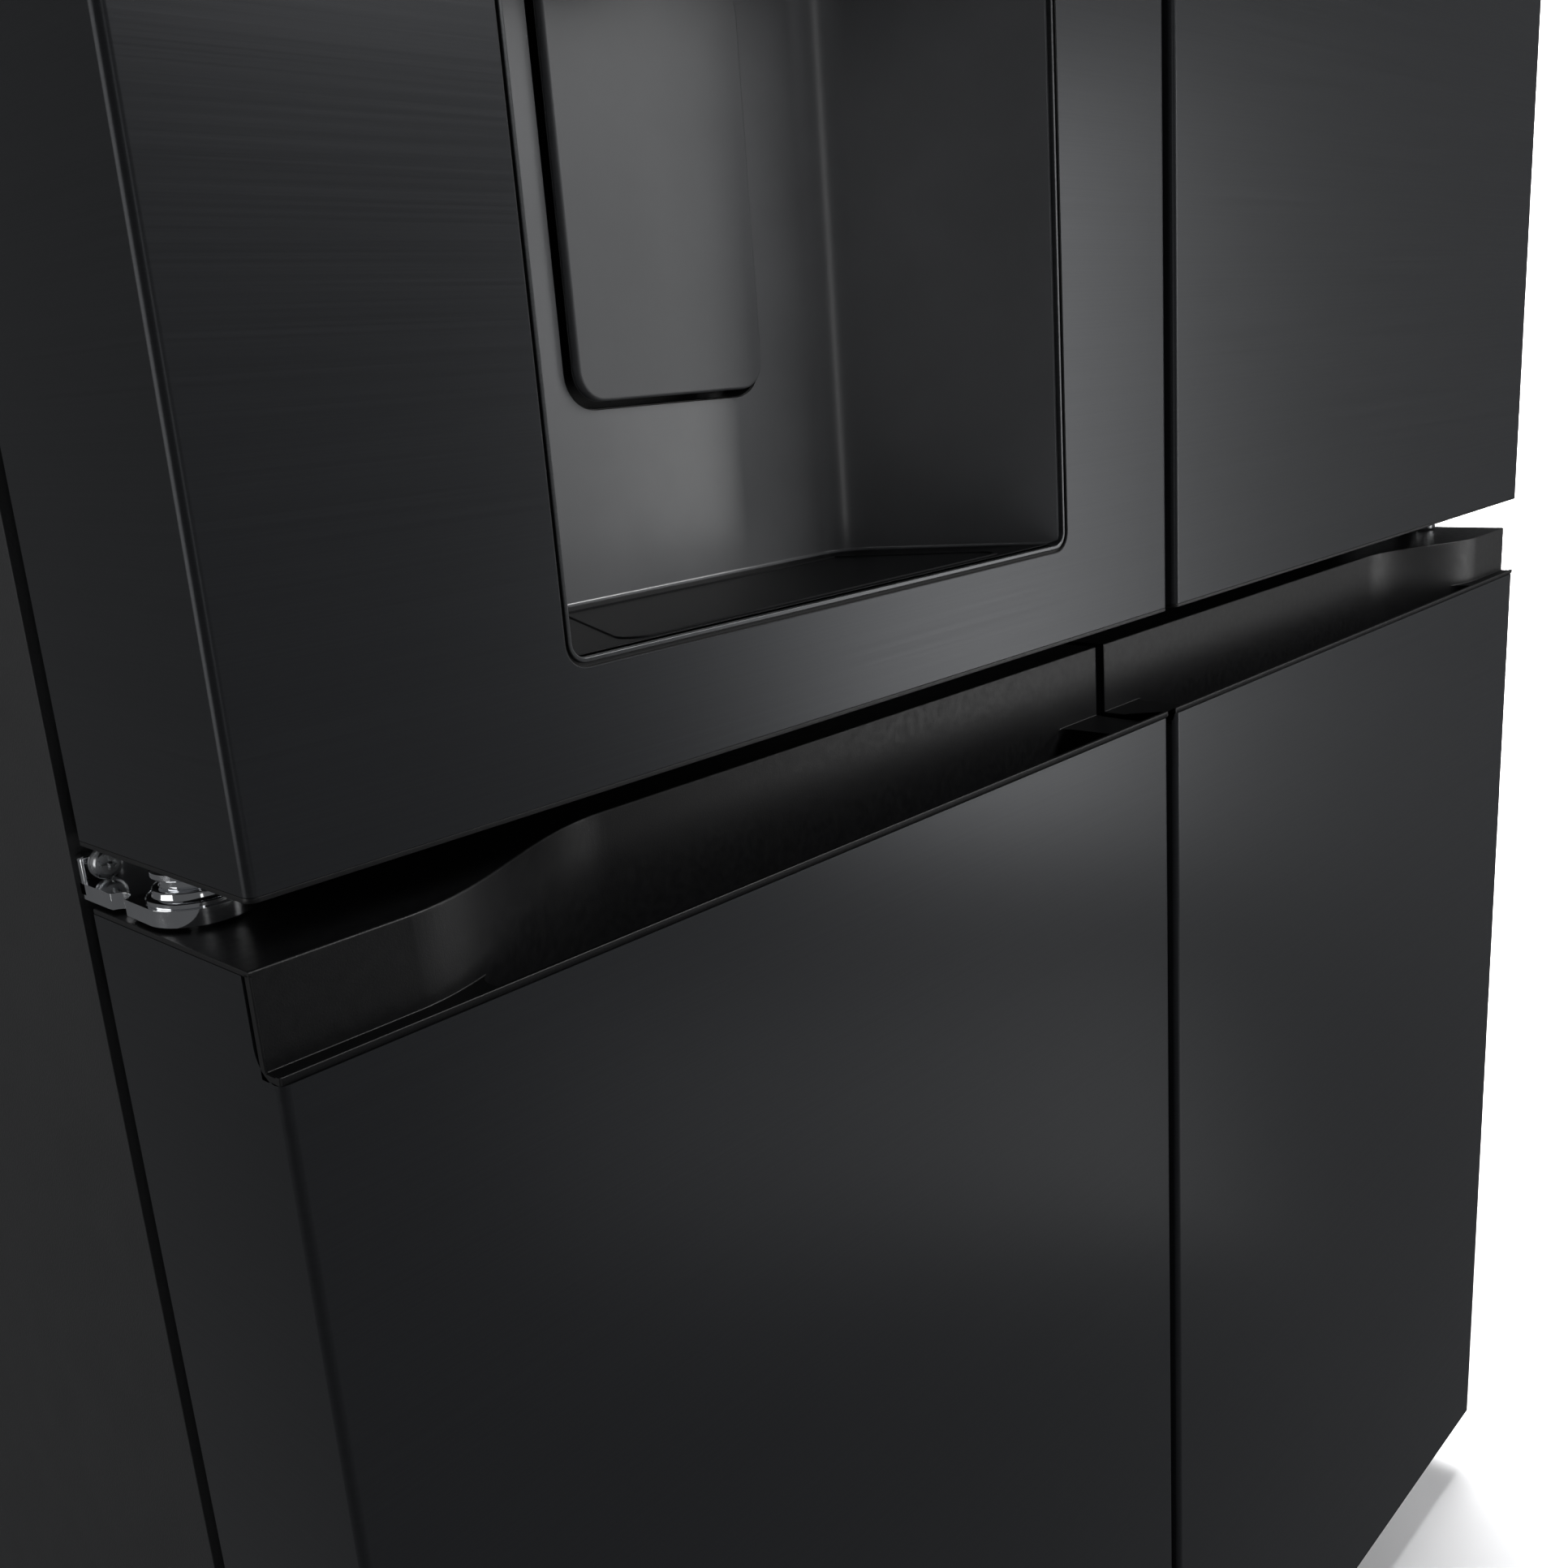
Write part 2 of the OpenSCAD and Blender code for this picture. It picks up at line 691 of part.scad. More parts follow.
module kick_plate() {
    x = half_w - 16;
    y = front + 74;
    z = [12, 42];
    color("#1a1b1c") difference() {
        union() {
            span([-x, x], [y, y + 3], z);
            both_sides() span([-x + 33, -x + 36], [y, case_front], z);
        }
        for (a = [-360:24:360]) span([a - 9, a + 9], [y - eps, y + 3 + eps], [22, 32]);
    }
}

module leveling_feet() {
    color("#202122") both_sides() {
        rod(foot_at[0], foot_at[1], [0, 8], 18);
        rod(foot_at[0], foot_at[1], [8, base_z[0]], 5);
    }
}

// ---- Hinges ----

hinge_z = [cap_top + 1.2, cap_top + 6.2];
hinge_flange = 4.5;
hinge_x = [pin_x - 15, pin_x + 28];
outer_hinge_x = [pin_x - 13, pin_x + 28];
top_plate = [case_top, case_top + 4];
bottom_plate = [lower_bottom - 6.5, lower_bottom - 2];
screw_r = 2.5;
mid_screws = [pin_x - 8, pin_x + 20];
mid_screw_z = mid_z - 8;
bottom_screw_z = lower_bottom - 15;
top_screws = [[pin_x - 6, case_front + 16], [pin_x + 18, case_front + 16], [pin_x + 6, case_front + 48]];

// A flat arm with a round end about the pin, reaching back to y_end
module hinge_arm(z, y_end, r) {
    rod(pin_x, pin_y, z, r);
    span([pin_x - r, pin_x + r], [pin_y, y_end], z);
}

module mid_hinges() {
    back = case_front - hinge_flange;
    color("#d8dadc") both_sides() {
        difference() {
            union() {
                hinge_arm(hinge_z, case_front, 15);
                span(hinge_x, [back - 14, case_front], hinge_z);
                span(hinge_x, [back, case_front], [hinge_z[0], mid_z - 4.6]);
            }
            rod(hinge_x[0] - 1, pin_y + 19, [hinge_z[0] - eps, hinge_z[1] + eps], 5);
            for (x = mid_screws) deep_rod(x, [back - eps, case_front + eps], mid_screw_z, screw_r);
        }
        rod(pin_x, pin_y, [cap_top - 18, mid_z + 16], pin_r);
        rod(pin_x, pin_y, [hinge_z[1], hinge_z[1] + 2], 10);
        rod(pin_x, pin_y, [hinge_z[1] + 2, mid_z - 0.6], 7);
    }
}

module top_and_bottom_hinges() {
    color("#b9bcbf") both_sides() {
        difference() {
            union() {
                hinge_arm(top_plate, case_front + 20, 13);
                span(outer_hinge_x, [case_front, case_front + 60], top_plate);
            }
            for (p = top_screws) rod(p[0], p[1], [case_top - eps, case_top + 5], screw_r);
        }
        rod(pin_x, pin_y, [door_top - 15, case_top + eps], pin_r);
        difference() {
            union() {
                hinge_arm(bottom_plate, case_front, 13);
                span(outer_hinge_x, [case_front - 4, case_front], [base_z[0], bottom_plate[1]]);
            }
            for (x = mid_screws) deep_rod(x, [case_front - 5, case_front + eps], bottom_screw_z, screw_r);
        }
        rod(pin_x, pin_y, [bottom_plate[1] - eps, lower_bottom + 16], pin_r);
    }
}

// Pan-head screws; each shank fills its hole in the hinge
module hinge_screws() {
    head_r = 4.8;
    head_h = 2.4;
    color("#c9cbcd") both_sides() {
        for (x = mid_screws) {
            deep_rod(x, [case_front - hinge_flange - head_h, case_front - hinge_flange], mid_screw_z, head_r);
            deep_rod(x, [case_front - hinge_flange - eps, case_front], mid_screw_z, screw_r);
            deep_rod(x, [case_front - 4 - head_h, case_front - 4], bottom_screw_z, head_r);
            deep_rod(x, [case_front - 4 - eps, case_front], bottom_screw_z, screw_r);
        }
        for (p = top_screws) {
            rod(p[0], p[1], [top_plate[1], top_plate[1] + head_h], head_r);
            rod(p[0], p[1], [case_top, top_plate[1] + eps], screw_r);
        }
    }
}

module top_hinge_covers() {
    x = [-half_w, -half_w + 62];
    y = [pin_y - 24, case_front + 80];
    color("#1d1e1f") both_sides() difference() {
        cover_block(x, y, [case_top, height], 10);
        cover_block([x[0] + 2, x[1] - 2], [y[0] + 2, y[1] - 2], [case_top - eps, height - 2], 8);
    }
}

// A block with round upright corners
module cover_block(x, y, z, r) {
    span([x[0] + r, x[1] - r], y, z);
    span(x, [y[0] + r, y[1] - r], z);
    for (a = [x[0] + r, x[1] - r], b = [y[0] + r, y[1] - r]) rod(a, b, z, r);
}

// ---- Inside the compartments ----

cover_z = crisper_top + 6;
half_shelf_x = [-402, -4];

// A plastic frame with a step that holds the glass; z is the underside of the glass
module shelf_frame(x, z) {
    difference() {
        span(x, shelf_y, [z - 8, z + 4]);
        span([x[0] + 6, x[1] - 6], [shelf_y[0] + 6, shelf_y[1] - 6], [z, z + 5]);
        span([x[0] + 14, x[1] - 14], [shelf_y[0] + 14, shelf_y[1] - 14], [z - 9, z + 5]);
    }
}

module shelf_glass(x, z) {
    span([x[0] + 6, x[1] - 6], [shelf_y[0] + 6, shelf_y[1] - 6], [z, z + 4]);
}

module shelf_frames() {
    color("#d5d9dc") {
        for (z = shelf_levels) both_sides() shelf_frame(half_shelf_x, z);
        shelf_frame([-402, 402], cover_z + 8);
    }
}

module glass_shelves() {
    color("#bcd6d2", 0.5) {
        for (z = shelf_levels) both_sides() shelf_glass(half_shelf_x, z);
        shelf_glass([-402, 402], cover_z + 8);
    }
}

// A shallow box with its back open and air slots in its front
module duct(x, y_back, z, deep, slots) {
    y = y_back - deep;
    difference() {
        span(x, [y, y_back], z);
        span([x[0] + 3, x[1] - 3], [y + 3, y_back + eps], [z[0] + 3, z[1] - 3]);
        for (i = [1:slots], b = [-60, 0, 60]) {
            middle = (x[0] + x[1]) / 2 + b;
            level = z[0] + i * (z[1] - z[0]) / (slots + 1);
            span([middle - 22, middle + 22], [y - eps, y + 4], [level, level + 10]);
        }
    }
}

module duct_covers() {
    color("#f1f2f3") {
        duct([-210, 210], fridge_back, [fridge_z[0] + 16, fridge_z[1] - 30], 50, 6);
        both_sides() duct([-365, -69], freezer_back, [step_z + 14, freezer_z[1] - 12], 44, 3);
    }
}

// Fins on a bank of tubes
module finned_coil(x, y, z, fins, tubes) {
    pitch = (x[1] - x[0]) / fins;
    for (i = [1 : fins - 1]) span([x[0] + i * pitch - 0.5, x[0] + i * pitch + 0.5], y, z);
    for (j = [0 : tubes - 1])
        cross_rod(x, (y[0] + y[1]) / 2, z[0] + (j + 0.5) * (z[1] - z[0]) / tubes, 4);
}

module evaporators() {
    color("#b7bcc0") {
        finned_coil([-190, 190], [fridge_back - 42, fridge_back - 4],
            [fridge_z[0] + 30, fridge_z[0] + 150], 20, 4);
        both_sides() finned_coil([-350, -84], [freezer_back - 38, freezer_back - 4],
            [step_z + 24, step_z + 130], 14, 3);
    }
}

module light_lens() {
    color("#f7f8f4") cover_block([-150, 150], [-90, -40], [fridge_z[1] - 8, fridge_z[1]], 10);
}

module drawer(x, y, z) {
    t = 2.5;
    color("#e3ebef", 0.6) {
        tub(x, [y[0] + 14, y[1]], z, t);
        span(x, [y[0] + 10, y[0] + 15], [z[0], z[1] + 2]);
        span([x[0] + 70, x[1] - 70], [y[0], y[0] + 11], [z[1] - 30, z[1] - 26]);
    }
}

crisper_x = [-396, -8];
crisper_z = [fridge_z[0] + 10, crisper_top - 6];
drawer_x = [-380, -38];
top_drawer_z = [step_z + 12, step_z + 200];
low_drawer_z = [freezer_z[0] + 10, freezer_z[0] + 190];

module crisper_left() { drawer(crisper_x, crisper_y, crisper_z); }
module crisper_right() { right_side() crisper_left(); }
module freezer_drawer_left_top() { drawer(drawer_x, [drawer_front, 236], top_drawer_z); }
module freezer_drawer_left_bottom() { drawer(drawer_x, [drawer_front, step_y - 8], low_drawer_z); }
module freezer_drawer_right_top() { right_side() freezer_drawer_left_top(); }
module freezer_drawer_right_bottom() { right_side() freezer_drawer_left_bottom(); }

// ---- Machine compartment ----

valve_at = [355, 175];
gland_at = [-390, 96];
fan_at = [rear - 112, 134];
fan_x = [-40, -16];
motor_x = [-12, 16];

module compressor() {
    r = 72;
    color("#26282a") translate([-250, rear - 112, machine_z[0] + 2]) {
        for (x = [-60, 60], y = [-60, 60]) rod(x, y, [0, 12], 11);
        span([-75, 75], [-75, 75], [12, 15]);
        translate([0, 0, 14]) rotate_extrude() polygon(concat([[0, 0]],
            arc([r - 26, 26], 26, -90, 0, 6), arc([r - 50, 112], 50, 0, 90, 8), [[0, 162]]));
        cross_rod([r - 4, r + 34], -20, 60, 4);
        cross_rod([r - 4, r + 34], 20, 90, 5);
    }
}

// Finned condenser, with the fan's square shroud and motor beside it
module condenser_and_shroud() {
    y = [rear - 182, rear - 42];
    z = [machine_z[0] + 16, machine_z[0] + 176];
    color("#7d8286") {
        finned_coil([24, 300], y, z, 16, 5);
        for (a = [40, 284]) span([a - 6, a + 6], [y[0] + 40, y[1] - 40], [machine_z[0] + 2, z[0] + eps]);
        difference() {
            span([motor_x[0], motor_x[0] + 6], y, [machine_z[0] + 2, z[1]]);
            cross_rod([motor_x[0] - eps, motor_x[1]], fan_at[0], fan_at[1], 66);
        }
        difference() {
            union() {
                cross_rod(motor_x, fan_at[0], fan_at[1], 20);
                for (a = [0, 120, 240]) translate([motor_x[0], fan_at[0], fan_at[1]]) rotate([a, 0, 0])
                    span([0, 5], [-4, 4], [15, 67.5]);
            }
            cross_rod([motor_x[0] - eps, motor_x[0] + 12], fan_at[0], fan_at[1], 3.05);
        }
    }
}

module condenser_fan() {
    color("#1f2123") {
        cross_rod(fan_x, fan_at[0], fan_at[1], 16);
        cross_rod([fan_x[1] - eps, motor_x[0] + 11], fan_at[0], fan_at[1], 3);
        for (i = [0:4]) translate([(fan_x[0] + fan_x[1]) / 2, fan_at[0], fan_at[1]])
            rotate([72 * i, 0, 0]) rotate([0, 0, 28]) span([-1, 1], [-13, 13], [14, 60]);
    }
}

// Water inlet valve with its threaded spigot, and the gland that the mains lead comes out of
module rear_fittings() {
    x = valve_at[0];
    z = valve_at[1];
    color("#d7d9da") {
        span([x - 26, x + 26], [rear - 62, rear - 24], [z - 24, z + 24]);
        rod(x, rear - 43, [z + 23, z + 48], 14);
        deep_rod(x, [rear - 25, rear - 13], z, 10);
        deep_rod(x, [rear - 14, rear - 1], z, 5.55);
        difference() {
            union() {
                deep_rod(gland_at[0], [rear - 5, rear - 1.5], gland_at[1], 14);
                deep_rod(gland_at[0], [rear - 16, rear], gland_at[1], 9.5);
            }
            deep_rod(gland_at[0], [rear - 17, rear + eps], gland_at[1], 4);
        }
    }
}

module rear_roller() {
    difference() {
        cross_rod([roller_at[0] - 12, roller_at[0] + 12], roller_at[1], roller_r, roller_r);
        cross_rod([roller_at[0] - 13, roller_at[0] + 13], roller_at[1], roller_r, 4.05);
    }
}

module rear_roller_right() { color("#333537") rear_roller(); }
module rear_roller_left() { color("#333537") mirror([1, 0, 0]) rear_roller(); }

cabinet_shell();
rear_panel();
machine_cover();
base_frame();
cabinet_foam();
inner_liners();
front_rails();
kick_plate();
leveling_feet();
top_and_bottom_hinges();
top_hinge_covers();
mid_hinges();
hinge_screws();
glass_shelves();
shelf_frames();
duct_covers();
evaporators();
light_lens();
compressor();
condenser_and_shroud();
rear_fittings();
upper_left_skin();
upper_left_foam();
upper_left_liner();
upper_left_caps();
upper_left_gasket();
upper_left_bins();
dispenser_housing();
dispenser_bezel();
control_panel();
dispenser_nozzle();
drip_tray();
ice_maker_and_bucket();
mullion_flap();
dispenser_paddle();
upper_right_skin();
upper_right_foam();
upper_right_liner();
upper_right_caps();
upper_right_gasket();
upper_right_bins();
lower_left_skin();
lower_left_foam();
lower_left_liner();
lower_left_caps();
lower_left_gasket();
lower_right_skin();
lower_right_foam();
lower_right_liner();
lower_right_caps();
lower_right_gasket();
crisper_left();
crisper_right();
freezer_drawer_left_top();
freezer_drawer_left_bottom();
freezer_drawer_right_top();
freezer_drawer_right_bottom();
rear_roller_left();
rear_roller_right();
condenser_fan();
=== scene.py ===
"""Looks of a four-door refrigerator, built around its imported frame. Lengths are in metres."""
import json
import math

import bmesh
import bpy
from mathutils import Matrix, Vector


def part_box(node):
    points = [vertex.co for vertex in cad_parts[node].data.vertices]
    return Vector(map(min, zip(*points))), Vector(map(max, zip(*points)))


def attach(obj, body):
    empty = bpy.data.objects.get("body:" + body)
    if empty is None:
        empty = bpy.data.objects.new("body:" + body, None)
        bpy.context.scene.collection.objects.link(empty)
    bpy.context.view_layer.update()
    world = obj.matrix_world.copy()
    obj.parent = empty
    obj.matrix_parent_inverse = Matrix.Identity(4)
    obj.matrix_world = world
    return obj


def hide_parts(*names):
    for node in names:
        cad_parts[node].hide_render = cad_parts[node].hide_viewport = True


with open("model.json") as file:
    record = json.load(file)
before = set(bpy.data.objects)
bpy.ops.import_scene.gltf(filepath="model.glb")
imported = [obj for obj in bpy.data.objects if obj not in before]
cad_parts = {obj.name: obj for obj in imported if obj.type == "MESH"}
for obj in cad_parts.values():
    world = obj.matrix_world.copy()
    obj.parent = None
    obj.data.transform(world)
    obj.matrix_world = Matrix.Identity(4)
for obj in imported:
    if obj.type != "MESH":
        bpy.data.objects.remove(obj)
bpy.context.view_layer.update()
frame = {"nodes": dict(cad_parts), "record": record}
MM = 0.001
SAME_POINT = 0.01 * MM
NO_LENGTH = 0.001 * MM
FLAT = math.radians(0.5)
CREASE = 32

# ---- Places, worked out from the CAD nodes ----

skin_low, skin_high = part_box("upper_left_skin")
FRONT = skin_low.y
DOOR_BACK = skin_high.y
SIDE = -skin_low.x
FREE_EDGE = skin_high.x
UPPER_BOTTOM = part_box("upper_left_caps")[0].z
SKIN_BOTTOM, SKIN_TOP = skin_low.z, skin_high.z
CAP_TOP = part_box("lower_left_caps")[1].z
LOWER_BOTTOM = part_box("lower_left_caps")[0].z
LOWER_SKIN_BOTTOM, LOWER_SKIN_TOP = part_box("lower_left_skin")[0].z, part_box("lower_left_skin")[1].z
CASE_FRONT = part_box("cabinet_shell")[0].y
PIN_X, PIN_Y = -440 * MM, -302 * MM
HINGE_FLANGE_T = 4.5 * MM
EDGE_R = 3 * MM
SHEET = 0.7 * MM
FLANGE = 6 * MM
EDGE_BEVEL = 0.25 * MM
SEAM = 0.35 * MM
OVERCUT = 1 * MM

# The recessed grips along the tops of the lower doors, drawn for the left door
FLANGE_T = 1.8 * MM
NOTCH_R = 8.5 * MM
NOTCH_DEEP = 11 * MM
STEEL_TOP = LOWER_SKIN_TOP - 28.5 * MM
LIP_TOP = STEEL_TOP + 2.7 * MM
LIP_T = 1.8 * MM
FLOOR_Z = LIP_TOP - 0.5 * MM
PAD_Z = LIP_TOP - 5.5 * MM
LIP_FRONT = FRONT + 0.15 * MM
TUB_BOTTOM = CAP_TOP - 68.8 * MM
POCKET_Z = CAP_TOP - 65.8 * MM
POCKET_X = (-385 * MM, -33 * MM)
WALL_OUT, WALL_IN = 7 * MM, 38 * MM
CURVE_X = (-410 * MM, -310 * MM)

# The dispenser; its gaps and its rim's width are measured from the edge of the door's opening
bezel_low, bezel_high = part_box("dispenser_bezel")
BEZEL_GAP = 1.1 * MM
RIM_GAP = 1.4 * MM
BEZEL_W = 2.9 * MM
DISP_X = (bezel_low.x - BEZEL_GAP, bezel_high.x + BEZEL_GAP)
DISP_Z = (bezel_low.z - BEZEL_GAP, bezel_high.z + BEZEL_GAP)
DISP_MID = (DISP_X[0] + DISP_X[1]) / 2
DISP_R = 8 * MM
tray_low, tray_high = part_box("drip_tray")
DISP_FLOOR = tray_low.z
DISP_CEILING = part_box("dispenser_nozzle")[1].z - 8 * MM
HOUSING_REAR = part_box("dispenser_housing")[1].y
HOUSING_FRONT = FRONT + 2.2 * MM
HOUSING_BACK = FRONT + 92 * MM
CAVITY_BACK = FRONT + 88 * MM
FLARE = 32 * MM
PADDLE_X = (DISP_MID - 46.75 * MM, DISP_MID + 46.75 * MM)
PADDLE_Z = (DISP_Z[0] + 73.2 * MM, DISP_Z[0] + 218 * MM)
PADDLE_GAP = 3 * MM


# ---- Mesh helpers ----

def link(name, mesh):
    piece = bpy.data.objects.new(name, mesh)
    bpy.context.scene.collection.objects.link(piece)
    return piece


def from_bmesh(name, bm):
    bmesh.ops.recalc_face_normals(bm, faces=bm.faces)
    mesh = bpy.data.meshes.new(name)
    bm.to_mesh(mesh)
    bm.free()
    return link(name, mesh)


def prism(bm, points, low, high, axis="z"):
    """A closed prism over a list of plan points. axis names the direction it runs along."""
    places = {"z": lambda a, b, c: (a, b, c), "y": lambda a, b, c: (a, c, b), "x": lambda a, b, c: (c, a, b)}
    place = places[axis]
    rings = [[bm.verts.new(place(a, b, c)) for a, b in points] for c in (low, high)]
    bm.faces.new(rings[0])
    bm.faces.new(list(reversed(rings[1])))
    for i in range(len(points)):
        j = (i + 1) % len(points)
        bm.faces.new((rings[0][i], rings[1][i], rings[1][j], rings[0][j]))


def box(bm, low, high):
    prism(bm, [(low[0], low[1]), (high[0], low[1]), (high[0], high[1]), (low[0], high[1])], low[2], high[2])


def arc(centre, radius, start, end, steps):
    """Points on an arc; angles in degrees."""
    angles = [math.radians(start + (end - start) * i / steps) for i in range(steps + 1)]
    return [(centre[0] + radius * math.cos(a), centre[1] + radius * math.sin(a)) for a in angles]


def rounded(low, high, radii, steps=6):
    """A rectangle with its corners rounded, counter-clockwise from the lower left."""
    if not isinstance(radii, (list, tuple)):
        radii = [radii] * 4
    corners = [(low[0], low[1], 180, 1, 1), (high[0], low[1], 270, -1, 1),
               (high[0], high[1], 0, -1, -1), (low[0], high[1], 90, 1, -1)]
    points = []
    for (x, y, start, sx, sy), r in zip(corners, radii):
        points += arc((x + sx * r, y + sy * r), r, start, start + 90, steps) if r > 0 else [(x, y)]
    return points


def shrunk(span, margin):
    """A span of numbers that starts and ends by margin further in."""
    return span[0] + margin, span[1] - margin


def slab(name, x, y, z, radii=0.0, steps=8):
    """A block facing the front, with rounded corners."""
    bm = bmesh.new()
    prism(bm, rounded((x[0], z[0]), (x[1], z[1]), radii, steps), y[0], y[1], "y")
    return from_bmesh(name, bm)


def block(name, low, high):
    bm = bmesh.new()
    box(bm, low, high)
    return from_bmesh(name, bm)


def apply_modifiers(piece):
    """Replaces the piece's mesh by its evaluated mesh and drops the modifiers."""
    bpy.context.view_layer.update()
    graph = bpy.context.evaluated_depsgraph_get()
    mesh = bpy.data.meshes.new_from_object(piece.evaluated_get(graph))
    piece.modifiers.clear()
    piece.data = mesh
    return piece


def bevel(piece, width, segments=2, angle=35):
    mod = piece.modifiers.new("bevel", "BEVEL")
    mod.width = width
    mod.segments = segments
    mod.limit_method = "ANGLE"
    mod.angle_limit = math.radians(angle)
    mod.use_clamp_overlap = True
    return apply_modifiers(piece)


def combine(piece, tool, operation):
    mod = piece.modifiers.new("combine", "BOOLEAN")
    mod.operation = operation
    mod.solver = "EXACT"
    mod.object = tool
    apply_modifiers(piece)
    bpy.data.objects.remove(tool)


def cut(piece, *tools):
    for tool in tools:
        combine(piece, tool, "DIFFERENCE")
    return piece


def smooth(piece, angle):
    """Smooth shading that keeps edges sharper than angle crisp and flat faces flat."""
    piece.data.shade_smooth()
    piece.data.set_sharp_from_angle(angle=math.radians(angle))
    mod = piece.modifiers.new("normals", "WEIGHTED_NORMAL")
    mod.keep_sharp = True
    return apply_modifiers(piece)


def mirrored_copy(piece, name):
    """The same mesh on the other side of the middle plane."""
    bm = bmesh.new()
    bm.from_mesh(piece.data)
    bmesh.ops.scale(bm, vec=(-1, 1, 1), verts=bm.verts)
    bmesh.ops.reverse_faces(bm, faces=bm.faces)
    mesh = bpy.data.meshes.new(name)
    bm.to_mesh(mesh)
    bm.free()
    return link(name, mesh)


def join(name, pieces):
    """One object from several, whose meshes stay separate shells."""
    bm = bmesh.new()
    for piece in pieces:
        bm.from_mesh(piece.data)
        bpy.data.objects.remove(piece)
    mesh = bpy.data.meshes.new(name)
    bm.to_mesh(mesh)
    bm.free()
    return link(name, mesh)


def finish_piece(piece, body, material, nodes=(), angle=CREASE):
    smooth(piece, angle)
    piece.data.materials.clear()
    piece.data.materials.append(material)
    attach(piece, body)
    if nodes:
        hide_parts(*nodes)
    return piece


# ---- Materials ----

class Look:
    """A Principled material, with detail added by chained calls."""

    def __init__(self, name, colour, roughness, metallic=0.0, specular=0.5, **sockets):
        self.mat = bpy.data.materials.new(name)
        self.mat.use_nodes = True
        self.nodes, self.links = self.mat.node_tree.nodes, self.mat.node_tree.links
        self.shader = self.nodes["Principled BSDF"]
        self.colour, self.rough = colour, roughness
        self.shader.inputs["Base Color"].default_value = (*colour, 1)
        self.shader.inputs["Roughness"].default_value = roughness
        self.shader.inputs["Metallic"].default_value = metallic
        self.shader.inputs["Specular IOR Level"].default_value = specular
        for key, value in sockets.items():
            self.shader.inputs[key.replace("_", " ")].default_value = value
        self.coords = self.nodes.new("ShaderNodeTexCoord")

    def field(self, scale, stretch=(1, 1, 1), detail=3, kind="ShaderNodeTexNoise"):
        """A noise or cell pattern in the piece's own coordinates, stretched along the axes."""
        mapping = self.nodes.new("ShaderNodeMapping")
        mapping.inputs["Scale"].default_value = stretch
        self.links.new(self.coords.outputs["Object"], mapping.inputs["Vector"])
        texture = self.nodes.new(kind)
        texture.inputs["Scale"].default_value = scale
        self.links.new(mapping.outputs["Vector"], texture.inputs["Vector"])
        if kind == "ShaderNodeTexNoise":
            texture.inputs["Detail"].default_value = detail
            return texture.outputs["Fac"]
        return texture.outputs["Distance"]

    def spread(self, field, low=0.0, high=1.0):
        """The middle of a noise field's range, mapped to low and high."""
        ramp = self.nodes.new("ShaderNodeMapRange")
        ramp.inputs["From Min"].default_value, ramp.inputs["From Max"].default_value = 0.3, 0.7
        ramp.inputs["To Min"].default_value, ramp.inputs["To Max"].default_value = low, high
        self.links.new(field, ramp.inputs["Value"])
        return ramp.outputs["Result"]

    def tint(self, field, amount):
        """Colour that runs lighter and darker by a share of itself."""
        mix = self.nodes.new("ShaderNodeMix")
        mix.data_type = "RGBA"
        mix.inputs["A"].default_value = (*[c * (1 - amount) for c in self.colour], 1)
        mix.inputs["B"].default_value = (*[min(1, c * (1 + amount)) for c in self.colour], 1)
        self.links.new(self.spread(field), mix.inputs["Factor"])
        self.links.new(mix.outputs["Result"], self.shader.inputs["Base Color"])
        return self

    def uneven(self, field, amount):
        """Roughness that varies by plus or minus an amount."""
        rough = self.spread(field, max(0.01, self.rough - amount), min(1, self.rough + amount))
        self.links.new(rough, self.shader.inputs["Roughness"])
        return self

    def bump(self, field, depth, strength=1.0):
        node = self.nodes.new("ShaderNodeBump")
        node.inputs["Distance"].default_value = depth
        node.inputs["Strength"].default_value = strength
        self.links.new(field, node.inputs["Height"])
        previous = self.shader.inputs["Normal"]
        if previous.is_linked:
            self.links.new(previous.links[0].from_socket, node.inputs["Normal"])
        self.links.new(node.outputs["Normal"], previous)
        return self


def brushed_black():
    """Black coated steel with faint level brushing."""
    look = Look("black_steel", (0.030, 0.0315, 0.0345), 0.29, metallic=0.55, specular=0.4)
    streaks = look.field(1, (4, 4, 2400), detail=2)
    look.tint(streaks, 0.07).uneven(look.field(1, (6, 6, 900), detail=3), 0.015)
    return look.bump(streaks, 0.000002, 0.4).mat


def textured_black():
    """Embossed prepainted sheet of the cabinet."""
    look = Look("cabinet_paint", (0.020, 0.0205, 0.0215), 0.5, specular=0.45)
    grain = look.field(900, (1, 1.6, 1), kind="ShaderNodeTexVoronoi")
    return look.tint(look.field(40), 0.1).bump(grain, 0.00012, 0.5).mat


def black_plastic():
    look = Look("black_plastic", (0.0045, 0.0046, 0.0051), 0.42, specular=0.32)
    grain = look.field(2200, detail=2)
    return look.tint(look.field(60), 0.12).uneven(look.field(300), 0.04).bump(grain, 0.00004, 0.8).mat


# Painted shade: a darker, duller copy of the black plastic, so the level faces deep in the grips read as
# shaded
def grip_floor():
    look = Look("grip_floor", (0.003, 0.0031, 0.0034), 0.6, specular=0.08)
    return look.tint(look.field(60), 0.12).bump(look.field(2200, detail=2), 0.00004, 0.8).mat


def dispenser_plastic():
    look = Look("dispenser_plastic", (0.135, 0.137, 0.142), 0.27, specular=0.8)
    return look.tint(look.field(30), 0.06).bump(look.field(3000, detail=1), 0.00001, 0.4).mat


def paddle_plastic():
    look = Look("paddle_plastic", (0.089, 0.091, 0.095), 0.38, specular=0.45)
    return look.tint(look.field(30), 0.06).bump(look.field(3000, detail=1), 0.00001, 0.4).mat


